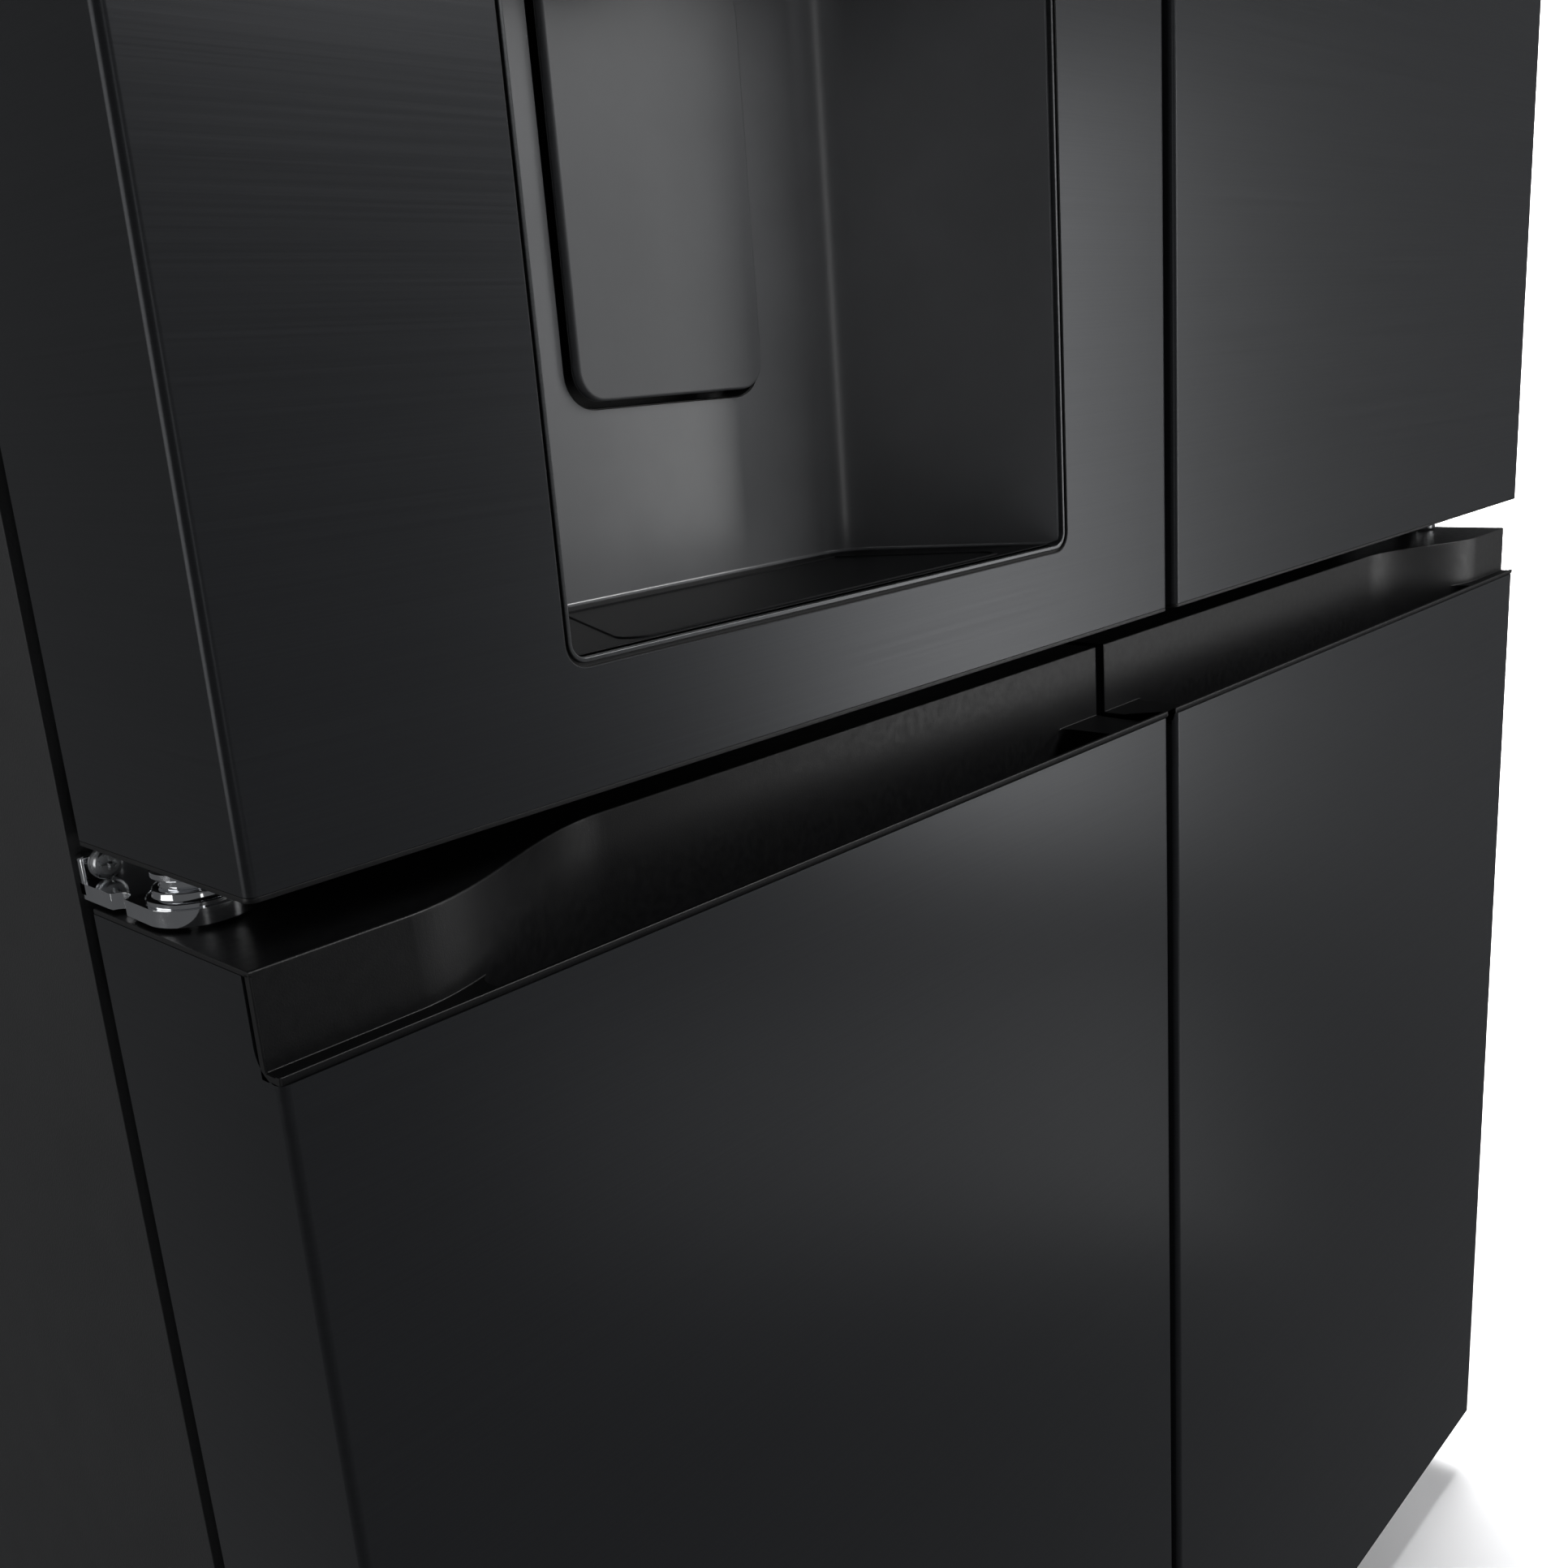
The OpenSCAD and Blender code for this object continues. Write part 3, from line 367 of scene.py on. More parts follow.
def tray_plastic():
    look = Look("tray_plastic", (0.0062, 0.0064, 0.0069), 0.5, specular=0.06)
    return look.tint(look.field(50), 0.1).bump(look.field(2600, detail=1), 0.000012, 0.4).mat


def chrome():
    look = Look("polished_chrome", (0.80, 0.81, 0.83), 0.07, metallic=1.0)
    look.tint(look.field(120), 0.04).uneven(look.field(400), 0.03)
    return look.bump(look.field(60), 0.00002, 0.3).mat


def zinc():
    look = Look("zinc_plate", (0.55, 0.56, 0.57), 0.3, metallic=1.0)
    return look.tint(look.field(200), 0.08).uneven(look.field(500), 0.08).mat


def galvanised():
    look = Look("galvanised_steel", (0.42, 0.43, 0.44), 0.42, metallic=0.85)
    look.tint(look.field(55, detail=6), 0.06).uneven(look.field(110), 0.05)
    return look.bump(look.field(400), 0.00002, 0.3).mat


def bezel_metal():
    look = Look("bezel_metal", (0.075, 0.077, 0.08), 0.3, metallic=0.9)
    return look.tint(look.field(1, (3, 3, 900)), 0.1).mat


def foam():
    look = Look("foam", (0.72, 0.60, 0.33), 0.9)
    return look.tint(look.field(80), 0.12).bump(look.field(700, kind="ShaderNodeTexVoronoi"), 0.0004, 0.7).mat


def white_plastic():
    look = Look("white_liner", (0.78, 0.80, 0.81), 0.32, Coat_Weight=0.15)
    return look.tint(look.field(8), 0.03).bump(look.field(180, detail=1), 0.00006, 0.35).mat


def glass():
    look = Look("shelf_glass", (0.80, 0.93, 0.90), 0.03, Transmission_Weight=0.95, IOR=1.5)
    return look.uneven(look.field(60), 0.015).mat


def clear_plastic():
    look = Look("clear_plastic", (0.86, 0.92, 0.94), 0.09, Transmission_Weight=0.85, IOR=1.49)
    look.tint(look.field(15), 0.04).uneven(look.field(40), 0.03)
    return look.bump(look.field(120), 0.00005, 0.3).mat


def frame_plastic():
    look = Look("shelf_frame_plastic", (0.60, 0.63, 0.65), 0.3)
    return look.tint(look.field(30), 0.05).bump(look.field(900), 0.00001, 0.4).mat


def rubber():
    look = Look("gasket_rubber", (0.012, 0.012, 0.0125), 0.62)
    return look.tint(look.field(90), 0.15).bump(look.field(1500), 0.00003, 0.4).mat


def aluminium():
    look = Look("fin_aluminium", (0.66, 0.68, 0.70), 0.32, metallic=1.0)
    return look.tint(look.field(150), 0.1).uneven(look.field(300), 0.08).mat


def black_enamel():
    look = Look("black_enamel", (0.018, 0.019, 0.021), 0.28, Coat_Weight=0.3)
    return look.tint(look.field(70), 0.15).bump(look.field(150), 0.00008, 0.35).mat


def fitting_plastic():
    look = Look("fitting_plastic", (0.62, 0.63, 0.64), 0.4)
    return look.tint(look.field(120), 0.07).bump(look.field(1400), 0.00002, 0.4).mat


def panel_glass():
    look = Look("panel_glass", (0.004, 0.004, 0.005), 0.06, specular=0.6, Coat_Weight=0.6)
    return look.tint(look.field(25), 0.2).uneven(look.field(12), 0.02).mat


def flap_plastic():
    look = Look("flap_plastic", (0.045, 0.047, 0.05), 0.45)
    return look.tint(look.field(60), 0.1).bump(look.field(1800), 0.00002, 0.4).mat


def roller_nylon():
    look = Look("roller_nylon", (0.05, 0.05, 0.052), 0.5)
    return look.tint(look.field(200), 0.2).bump(look.field(900), 0.00006, 0.5).mat


def panel_marks():
    look = Look("panel_marks", (0.34, 0.36, 0.38), 0.4)
    return look.tint(look.field(300), 0.08).mat


# A material for each slot of the record, then those that only some pieces have
LOOKS = {
    "black_steel": brushed_black(), "cabinet_paint": textured_black(), "black_plastic": black_plastic(),
    "dispenser_plastic": dispenser_plastic(), "tray_plastic": tray_plastic(), "chrome": chrome(),
    "plated_steel": zinc(), "grey_steel": galvanised(), "bezel_metal": bezel_metal(),
    "insulation_foam": foam(), "white_plastic": white_plastic(), "shelf_glass": glass(),
    "clear_plastic": clear_plastic(), "frame_plastic": frame_plastic(), "gasket_rubber": rubber(),
    "bare_aluminium": aluminium(), "black_paint": black_enamel(), "fitting_plastic": fitting_plastic(),
    "panel_gloss": panel_glass(), "flap_plastic": flap_plastic(), "roller_plastic": roller_nylon(),
    "nozzle_plastic": tray_plastic(), "paddle_plastic": paddle_plastic(), "grip_floor": grip_floor(),
    "panel_marks": panel_marks(),
}
SLOTS = {part["node"]: part["material_slot"] for part in frame["record"]["subparts"]}
NODE_LOOKS = {"cabinet_shell": "cabinet_paint", "dispenser_housing": "dispenser_plastic",
              "dispenser_paddle": "paddle_plastic", "drip_tray": "tray_plastic"}
BODY_OF = {node: body for body, nodes in frame["record"]["behaviour"]["bodies"].items() for node in nodes}


def look_of(node):
    return LOOKS[NODE_LOOKS.get(node, SLOTS[node])]


# ---- Pieces refined from CAD nodes ----

def refined(node, width):
    """A copy of a CAD node with its flat faces merged and its edges rounded, which replaces the node."""
    bm = bmesh.new()
    bm.from_mesh(frame["nodes"][node].data)
    bmesh.ops.remove_doubles(bm, verts=bm.verts, dist=SAME_POINT)
    bmesh.ops.dissolve_limit(bm, angle_limit=FLAT, verts=bm.verts, edges=bm.edges)
    piece = from_bmesh(node + "_finished", bm)
    bevel(piece, width)
    stand_for(piece, node)


# The CAD nodes that only need rounded edges, and how wide the rounding is in millimetres
ROUNDED_NODES = {
    "cabinet_shell": 0.3, "machine_cover": 0.3, "base_frame": 0.5, "kick_plate": 0.6,
    "leveling_feet": 1.2, "rear_roller_left": 1.2, "rear_roller_right": 1.2, "rear_fittings": 0.6,
    "condenser_fan": 0.3, "top_hinge_covers": 2.5, "top_and_bottom_hinges": 0.5,
    "upper_left_caps": 0.4, "upper_right_caps": 0.4, "upper_left_liner": 0.5, "upper_right_liner": 0.5,
    "lower_left_liner": 0.5, "lower_right_liner": 0.5, "upper_left_gasket": 1.2,
    "upper_right_gasket": 1.2, "lower_left_gasket": 1.2, "lower_right_gasket": 1.2,
    "upper_left_bins": 0.8, "upper_right_bins": 0.8, "mullion_flap": 1.5, "dispenser_nozzle": 0.8,
    "ice_maker_and_bucket": 0.8, "shelf_frames": 0.8, "glass_shelves": 0.5, "light_lens": 1.5,
    "duct_covers": 1.5, "crisper_left": 0.7, "crisper_right": 0.7, "freezer_drawer_left_top": 0.7,
    "freezer_drawer_left_bottom": 0.7, "freezer_drawer_right_top": 0.7,
    "freezer_drawer_right_bottom": 0.7,
}

REPLACED = set()


def stand_for(piece, node, angle=CREASE):
    """The piece takes a CAD node's body and material, and replaces it."""
    REPLACED.add(node)
    return finish_piece(piece, BODY_OF[node], look_of(node), (node,), angle)


def alongside(piece, node, material):
    """An extra piece that rides with a CAD node's body, in a material of its own."""
    return finish_piece(piece, BODY_OF[node], material)


# ---- Door skins: folded sheet with fine rounded edges ----

def skin_outline(inset, back):
    """Plan of a left door, pulled in by inset, counter-clockwise from its back right corner."""
    low, high, near = -SIDE + inset, FREE_EDGE - inset, FRONT + inset
    r = EDGE_R - inset
    return ([(high, back), (low, back)] + arc((low + r, near + r), r, 180, 270, 8)
            + arc((high - r, near + r), r, 270, 360, 8))


def skin_block(name, low, high, inset=0.0, back=DOOR_BACK):
    bm = bmesh.new()
    prism(bm, skin_outline(inset, back), low, high)
    return from_bmesh(name, bm)


def door_skin(name, low, high):
    """The folded steel: its front, two sides and the narrow flange at the back."""
    skin = skin_block(name, low, high)
    inner = skin_block("inner", low - OVERCUT, high + OVERCUT, SHEET, DOOR_BACK - SHEET)
    window = block("window", (-SIDE + FLANGE, DOOR_BACK - 2 * SHEET, low - OVERCUT),
                   (FREE_EDGE - FLANGE, DOOR_BACK + OVERCUT, high + OVERCUT))
    return cut(skin, inner, window)


def upper_skins():
    left = door_skin("upper_left_door_steel", SKIN_BOTTOM, SKIN_TOP)
    right = mirrored_copy(left, "upper_right_door_steel")
    cut(left, slab("opening", DISP_X, (FRONT - OVERCUT, FRONT + 2 * MM), DISP_Z, DISP_R))
    for piece, node in ((left, "upper_left_skin"), (right, "upper_right_skin")):
        bevel(piece, EDGE_BEVEL, 2)
        stand_for(piece, node)
    dispenser_seal()


def dispenser_seal():
    """A black seal with an L section fills the gap between the steel and the dispenser's rim."""
    thick, play, foot_front = 0.2 * MM, 0.05 * MM, FRONT + 1.5 * MM
    seal = slab("dispenser_edge", DISP_X, (FRONT + EDGE_BEVEL, HOUSING_FRONT - play), DISP_Z, DISP_R)
    for margin, end in ((thick, foot_front), (RIM_GAP - play, HOUSING_FRONT + OVERCUT)):
        cut(seal, slab("hole", shrunk(DISP_X, margin), (FRONT - OVERCUT, end), shrunk(DISP_Z, margin),
                       DISP_R - margin))
    alongside(seal, "upper_left_skin", LOOKS["gasket_rubber"])


def lower_skins():
    """The steel of a lower door ends in a rounded notch under its grip."""
    left = door_skin("lower_left_door_steel", LOWER_SKIN_BOTTOM, LOWER_SKIN_TOP)
    centre = (FRONT + NOTCH_DEEP - NOTCH_R, STEEL_TOP + NOTCH_R)
    outline = ([(FRONT - 2 * MM, CAP_TOP), (FRONT - 2 * MM, STEEL_TOP)]
               + arc(centre, NOTCH_R, 270, 360, 10) + [(FRONT + NOTCH_DEEP, CAP_TOP)])
    bm = bmesh.new()
    prism(bm, outline, -SIDE - OVERCUT, 0, "x")
    gap = block("gap", (FREE_EDGE - 2 * SHEET, FRONT + LIP_T + SHEET, PAD_Z - 2.5 * MM),
                (0, FRONT + WALL_IN + 2.2 * MM, CAP_TOP))
    cut(left, from_bmesh("notch", bm), gap)
    right = mirrored_copy(left, "lower_right_door_steel")
    for piece, node in ((left, "lower_left_skin"), (right, "lower_right_skin")):
        bevel(piece, EDGE_BEVEL, 2)
        stand_for(piece, node)


# ---- The lower doors' top caps, with the recessed grips ----

def grip_wall(x):
    """Depth of the grip's rear wall at a place along the left door."""
    t = max(0.0, min(1.0, (x - CURVE_X[0]) / (CURVE_X[1] - CURVE_X[0])))
    return FRONT + WALL_OUT + (WALL_IN - WALL_OUT) * (1 - math.cos(math.pi * t)) / 2


def stations(low, high, fine=2.5 * MM, coarse=12 * MM):
    """Places along the door, close together where the wall curves."""
    places = [low]
    while places[-1] < high - NO_LENGTH:
        in_curve = CURVE_X[0] - fine <= places[-1] < CURVE_X[1]
        places.append(min(high, places[-1] + (fine if in_curve else coarse)))
    return places


def loft(name, rings):
    """A closed solid through rings of equal length."""
    bm = bmesh.new()
    rows = [[bm.verts.new(p) for p in ring] for ring in rings]
    count = len(rows[0])
    for one, two in zip(rows, rows[1:]):
        for i in range(count):
            j = (i + 1) % count
            bm.faces.new((one[i], one[j], two[j], two[i]))
    bm.faces.new(rows[0])
    bm.faces.new(list(reversed(rows[-1])))
    bmesh.ops.remove_doubles(bm, verts=bm.verts, dist=NO_LENGTH)
    bmesh.ops.dissolve_degenerate(bm, dist=NO_LENGTH, edges=bm.edges)
    return from_bmesh(name, bm)


def floor_level(x):
    """The flat floor in front of the wall lies lower near the middle of the refrigerator."""
    return FLOOR_Z if x < POCKET_X[0] / 2 else PAD_Z


def cap_section(x):
    """Section of the cap's body across the door: rear wall, flat floor, lip and hidden plug."""
    wall, floor = grip_wall(x), floor_level(x)
    top, back = CAP_TOP - 0.8 * MM, DOOR_BACK - 1 * MM
    floor_r, lip_r = 0.45 * MM, 0.35 * MM
    lip_back, plug_front = FRONT + LIP_T, FRONT + 1.6 * MM
    points = [(back, top), (wall, top)]
    points += arc((wall - floor_r, floor + floor_r), floor_r, 0, -90, 4)
    points += arc((lip_back + lip_r, floor + lip_r), lip_r, -90, -180, 3)
    points += arc((lip_back - lip_r, LIP_TOP - lip_r), lip_r, 0, 90, 3)
    points += arc((LIP_FRONT + lip_r, LIP_TOP - lip_r), lip_r, 90, 180, 3)
    points += [(LIP_FRONT, STEEL_TOP + SEAM), (plug_front, STEEL_TOP + SEAM)]
    return points + [(plug_front, TUB_BOTTOM), (back, TUB_BOTTOM)]


def flange_section(x):
    """Section of the cap's top edge, which lies flush with the steel."""
    wall, low, top, edge = grip_wall(x), CAP_TOP - FLANGE_T, CAP_TOP, 0.7 * MM
    points = [(wall, low), (DOOR_BACK, low)] + arc((DOOR_BACK - edge, top - edge), edge, 0, 90, 3)
    return points + arc((wall + edge, top - edge), edge, 90, 180, 4)


def pocket_tool():
    """The finger space: its back runs down the wall and sweeps forward, and its corners are round."""
    corner, bend, bend_steps = 5 * MM, 14 * MM, 10
    steps = [0, 0.4 * MM, 1.2 * MM, 2.4 * MM, 3.8 * MM, corner]
    low, high = POCKET_X
    places = [low + d for d in steps] + stations(low + corner, high - corner)[1:-1]
    places += [high - d for d in reversed(steps)]
    front = FRONT + LIP_T + 0.3 * MM
    levels = [POCKET_Z + bend * (1 - math.cos(math.pi / 2 * i / bend_steps)) for i in range(bend_steps + 1)]
    levels += [FLOOR_Z + 0.7 * MM]
    rings = []
    for z in levels:
        drop = z - POCKET_Z
        ring = [(places[0], front, z), (places[-1], front, z)]
        for x in reversed(places):
            end = min(x - low, high - x)
            rounding = corner - math.sqrt(max(0, corner ** 2 - (corner - min(end, corner)) ** 2))
            sweep = min(bend, grip_wall(x) - front - 3 * MM)
            rise = min(drop, sweep)
            forward = sweep - math.sqrt(max(0, sweep ** 2 - (sweep - rise) ** 2))
            ring.append((x, max(front + 1.5 * MM, grip_wall(x) - forward - rounding), z))
        rings.append(ring)
    return loft("pocket", rings)


def end_bead(x, wall, floor):
    """A thin rim at an end of the cap, flush with the steel, down the wall and along to the lip."""
    width, seam_z, rim_top = 2.3 * MM, STEEL_TOP + SEAM, CAP_TOP - FLANGE_T / 2
    low, lip_back = min(floor, LIP_TOP) - 2.4 * MM, LIP_FRONT + LIP_T
    outline = [(LIP_FRONT, LIP_TOP), (LIP_FRONT, seam_z), (LIP_FRONT + 4 * MM, seam_z),
               (LIP_FRONT + 6 * MM, low), (wall + width, low), (wall + width, rim_top), (wall, rim_top),
               (wall, floor), (lip_back, floor), (lip_back, LIP_TOP)]
    bm = bmesh.new()
    prism(bm, outline, x[0], x[1], "x")
    return bevel(from_bmesh("bead", bm), 0.3 * MM)


def cad_part(node, keep):
    """A copy of those solids of a CAD node whose corners all pass a test."""
    bm = bmesh.new()
    bm.from_mesh(frame["nodes"][node].data)
    bmesh.ops.remove_doubles(bm, verts=bm.verts, dist=SAME_POINT)
    bmesh.ops.delete(bm, geom=[v for v in bm.verts if not keep(v.co)], context="VERTS")
    bmesh.ops.dissolve_limit(bm, angle_limit=FLAT, verts=bm.verts, edges=bm.edges)
    return from_bmesh(node + "_part", bm)


def lower_caps():
    fit = 0.1 * MM
    side_low, side_high = -SIDE + SHEET + fit, FREE_EDGE - SHEET - fit
    body = loft("body", [[(x, y, z) for y, z in cap_section(x)] for x in stations(side_low, side_high)])
    flange = loft("flange", [[(x, y, z) for y, z in flange_section(x)] for x in stations(-SIDE, FREE_EDGE)])
    bevel(flange, 0.35 * MM, 2, 50)
    combine(body, flange, "UNION")
    cut(body, pocket_tool())
    beads = [end_bead((-SIDE, side_low + fit), grip_wall(-SIDE), FLOOR_Z),
             end_bead((side_high - fit, FREE_EDGE), grip_wall(FREE_EDGE), PAD_Z)]
    bottom = bevel(cad_part("lower_left_caps", lambda co: co.z < STEEL_TOP / 2), 0.4 * MM)
    left = join("lower_left_door_caps", [body, bottom] + beads)
    right = mirrored_copy(left, "lower_right_door_caps")
    level, painted_shade_low, painted_shade_high = 0.95, POCKET_Z - 5 * MM, CAP_TOP - 10 * MM
    for piece, node in ((left, "lower_left_caps"), (right, "lower_right_caps")):
        stand_for(piece, node, 28)
        # The level faces inside the grips get a darker, duller copy of the black plastic: painted shade for
        # the grip floors and pocket bottoms
        piece.data.materials.append(LOOKS["grip_floor"])
        for face in piece.data.polygons:
            if face.normal.z > level and painted_shade_low < face.center.z < painted_shade_high:
                face.material_index = 1


# ---- The dispenser ----

def cavity_outline(inset, front=FRONT - OVERCUT):
    """Plan of the recess, which narrows towards its back, pulled in by inset."""
    r = 21 * MM - inset * 0.5
    near = (DISP_X[0] + BEZEL_W + inset, DISP_X[1] - BEZEL_W - inset)
    far = (DISP_X[0] + FLARE + inset, DISP_X[1] - FLARE - inset)
    back = CAVITY_BACK - inset
    return ([(near[0], front), (near[1], front)]
            + arc((far[1] - r, back - r), r, 16, 90, 10) + arc((far[0] + r, back - r), r, 90, 164, 10))


def dispenser_housing():
    fit, wall, recess_r = 0.1 * MM, 3 * MM, 13 * MM
    housing = slab("dispenser_recess", shrunk(DISP_X, fit), (HOUSING_FRONT, HOUSING_BACK),
                   shrunk(DISP_Z, fit), DISP_R - fit)
    recess_x, recess_z = shrunk(PADDLE_X, -PADDLE_GAP), shrunk(PADDLE_Z, -PADDLE_GAP)
    hump = slab("hump", shrunk(recess_x, -wall), (HOUSING_BACK - OVERCUT, HOUSING_REAR),
                shrunk(recess_z, -wall), 4 * MM)
    combine(housing, hump, "UNION")
    fillet, steps = 1.2 * MM, 5
    rings = []
    for i in range(steps + 1):
        angle = math.pi / 2 * i / steps
        inset, z = fillet * (1 - math.sin(angle)), DISP_FLOOR + fillet * (1 - math.cos(angle))
        rings.append([(x, y, z) for x, y in cavity_outline(inset)])
    rings.append([(x, y, DISP_CEILING) for x, y in cavity_outline(0)])
    cavity = loft("cavity", rings)
    recess = slab("recess", recess_x, (CAVITY_BACK - wall, HOUSING_REAR - wall), recess_z, recess_r)
    pocket = slab("pocket", shrunk(DISP_X, 8 * MM), (FRONT, CAVITY_BACK - 10 * MM),
                  (DISP_CEILING + 10 * MM, DISP_Z[1] - 5 * MM), 4 * MM)
    bm = bmesh.new()
    nozzle_y, mouth_r = FRONT + 50 * MM, 27.5 * MM
    prism(bm, arc((DISP_MID, nozzle_y), mouth_r, 0, 354, 59), DISP_CEILING - OVERCUT, DISP_CEILING + 8 * MM)
    cut(housing, cavity, recess, pocket, from_bmesh("mouth", bm))
    stand_for(housing, "dispenser_housing", 24)
    # A black liner behind the paddle is painted shade: it darkens the gap round the paddle
    inner = 0.5 * MM
    paddle_shade_liner = slab("paddle_recess", shrunk(recess_x, fit), (CAVITY_BACK + 0.8 * MM, HOUSING_REAR - wall + fit),
                  shrunk(recess_z, fit), recess_r - fit)
    cut(paddle_shade_liner, slab("inner", shrunk(recess_x, inner), (CAVITY_BACK, HOUSING_REAR - wall + fit - inner),
                     shrunk(recess_z, inner), recess_r - inner))
    alongside(paddle_shade_liner, "dispenser_housing", LOOKS["black_plastic"])


def dispenser_bezel():
    """A narrow bright rim between the steel and the recess."""
    rim = slab("dispenser_rim", shrunk(DISP_X, RIM_GAP), (bezel_low.y, bezel_high.y), shrunk(DISP_Z, RIM_GAP),
               DISP_R - RIM_GAP, 10)
    hole = slab("hole", shrunk(DISP_X, BEZEL_W), (FRONT - OVERCUT, bezel_high.y + OVERCUT),
                (DISP_FLOOR, DISP_Z[1] - BEZEL_W), DISP_R - BEZEL_W, 10)
    bevel(cut(rim, hole), 0.4 * MM, 3)
    stand_for(rim, "dispenser_bezel")


def dispenser_paddle():
    low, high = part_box("dispenser_paddle")
    thick, play = 4 * MM, 0.1 * MM
    plate = slab("plate", PADDLE_X, (low.y, low.y + thick), (low.z, high.z), 11 * MM, 10)
    bevel(plate, 1.2 * MM, 4)
    hinge = cad_part("dispenser_paddle", lambda co: co.y > low.y + thick - play)
    stand_for(join("dispenser_lever", [plate, hinge]), "dispenser_paddle")


def drip_tray():
    """A shallow tray with a low rim; its sides follow the recess."""
    def outline(inset):
        near, far = 100 * MM - inset, 73 * MM - inset
        y = shrunk((tray_low.y, tray_high.y), inset)
        r, taper = 7 * MM, 1 * MM
        side = math.degrees(math.atan2(y[1] - y[0], near - far))
        points = [(far, y[1]), (-far, y[1])]
        points += arc((r - near + taper, y[0] + r), r, 90 + side, 270, 6)
        points += arc((near - r - taper, y[0] + r), r, 270, 450 - side, 6)
        return [(DISP_MID + a, b) for a, b in points]

    base, rim = tray_low.z + 0.3 * MM, 1.4 * MM
    levels = [(0, tray_low.z), (0, base), (0.3 * MM, base + 0.4 * MM), (rim, base + 0.4 * MM),
              (rim + 0.5 * MM, base - 0.2 * MM), (rim + 6 * MM, base - 0.25 * MM)]
    rings = [[(x, y, z) for x, y in outline(inset)] for inset, z in levels]
    stand_for(loft("drip_tray_plate", rings), "drip_tray")
    # A thin sheet of the tray's dark plastic over the recess's light floor is painted shade: it darkens the
    # floor round the tray
    bm = bmesh.new()
    prism(bm, cavity_outline(2.5 * MM, bezel_high.y), DISP_FLOOR - 0.5 * MM, DISP_FLOOR + 0.12 * MM)
    alongside(from_bmesh("recess_floor_painted_shade", bm), "drip_tray", look_of("drip_tray"))


def icon_ring(centre, levels):
    """A thin ring on the panel; levels are its front and back depths."""
    steps = 24
    bm = bmesh.new()
    circles = [arc(centre, r, 0, 360 - 360 / steps, steps - 1) for r in (7 * MM, 6.3 * MM)]
    verts = [[bm.verts.new((a, y, b)) for a, b in points] for y in levels for points in circles]
    for k in range(steps):
        n = (k + 1) % steps
        for one, two in ((0, 1), (1, 3), (3, 2), (2, 0)):
            bm.faces.new((verts[one][k], verts[one][n], verts[two][n], verts[two][k]))
    return from_bmesh("ring", bm)


def control_panel():
    low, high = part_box("control_panel")
    panel = slab("touch_panel", (low.x, high.x), (low.y, high.y), (low.z, high.z), 3 * MM)
    bevel(panel, 0.6 * MM, 3)
    stand_for(panel, "control_panel")
    levels = (low.y - 0.12 * MM, low.y + 0.1 * MM)
    icons, icon_pitch, bars, bar_pitch = 5, 46 * MM, 3, 60 * MM
    marks = []
    for i in range(icons):
        x = DISP_MID + (i - (icons - 1) / 2) * icon_pitch
        marks.append(icon_ring((x, low.z + 42 * MM), levels))
        marks.append(slab("dash", (x - 5 * MM, x + 5 * MM), levels, (low.z + 26 * MM, low.z + 26.8 * MM),
                          0.35 * MM, 4))
    for i in range(bars):
        x = DISP_MID + (i - (bars - 1) / 2) * bar_pitch
        marks.append(slab("bar", (x - 12 * MM, x + 12 * MM), levels, (high.z - 42 * MM, high.z - 40 * MM),
                          0.9 * MM, 4))
    alongside(join("panel_marks", marks), "control_panel", LOOKS["panel_marks"])


# ---- Hinges ----

def turned(name, profile, centre, steps=48):
    """A solid of revolution about an upright axis, from (radius, height) points that start and end on it."""
    bm = bmesh.new()
    rings = []
    for r, z in profile:
        if r <= 0:
            rings.append([bm.verts.new((centre[0], centre[1], z))])
        else:
            circle = arc(centre, r, 0, 360 - 360 / steps, steps - 1)
            rings.append([bm.verts.new((x, y, z)) for x, y in circle])
    for one, two in zip(rings, rings[1:]):
        for k in range(steps):
            n = (k + 1) % steps
            if len(one) == 1:
                bm.faces.new((one[0], two[n], two[k]))
            elif len(two) == 1:
                bm.faces.new((one[k], one[n], two[0]))
            else:
                bm.faces.new((one[k], one[n], two[n], two[k]))
    return from_bmesh(name, bm)


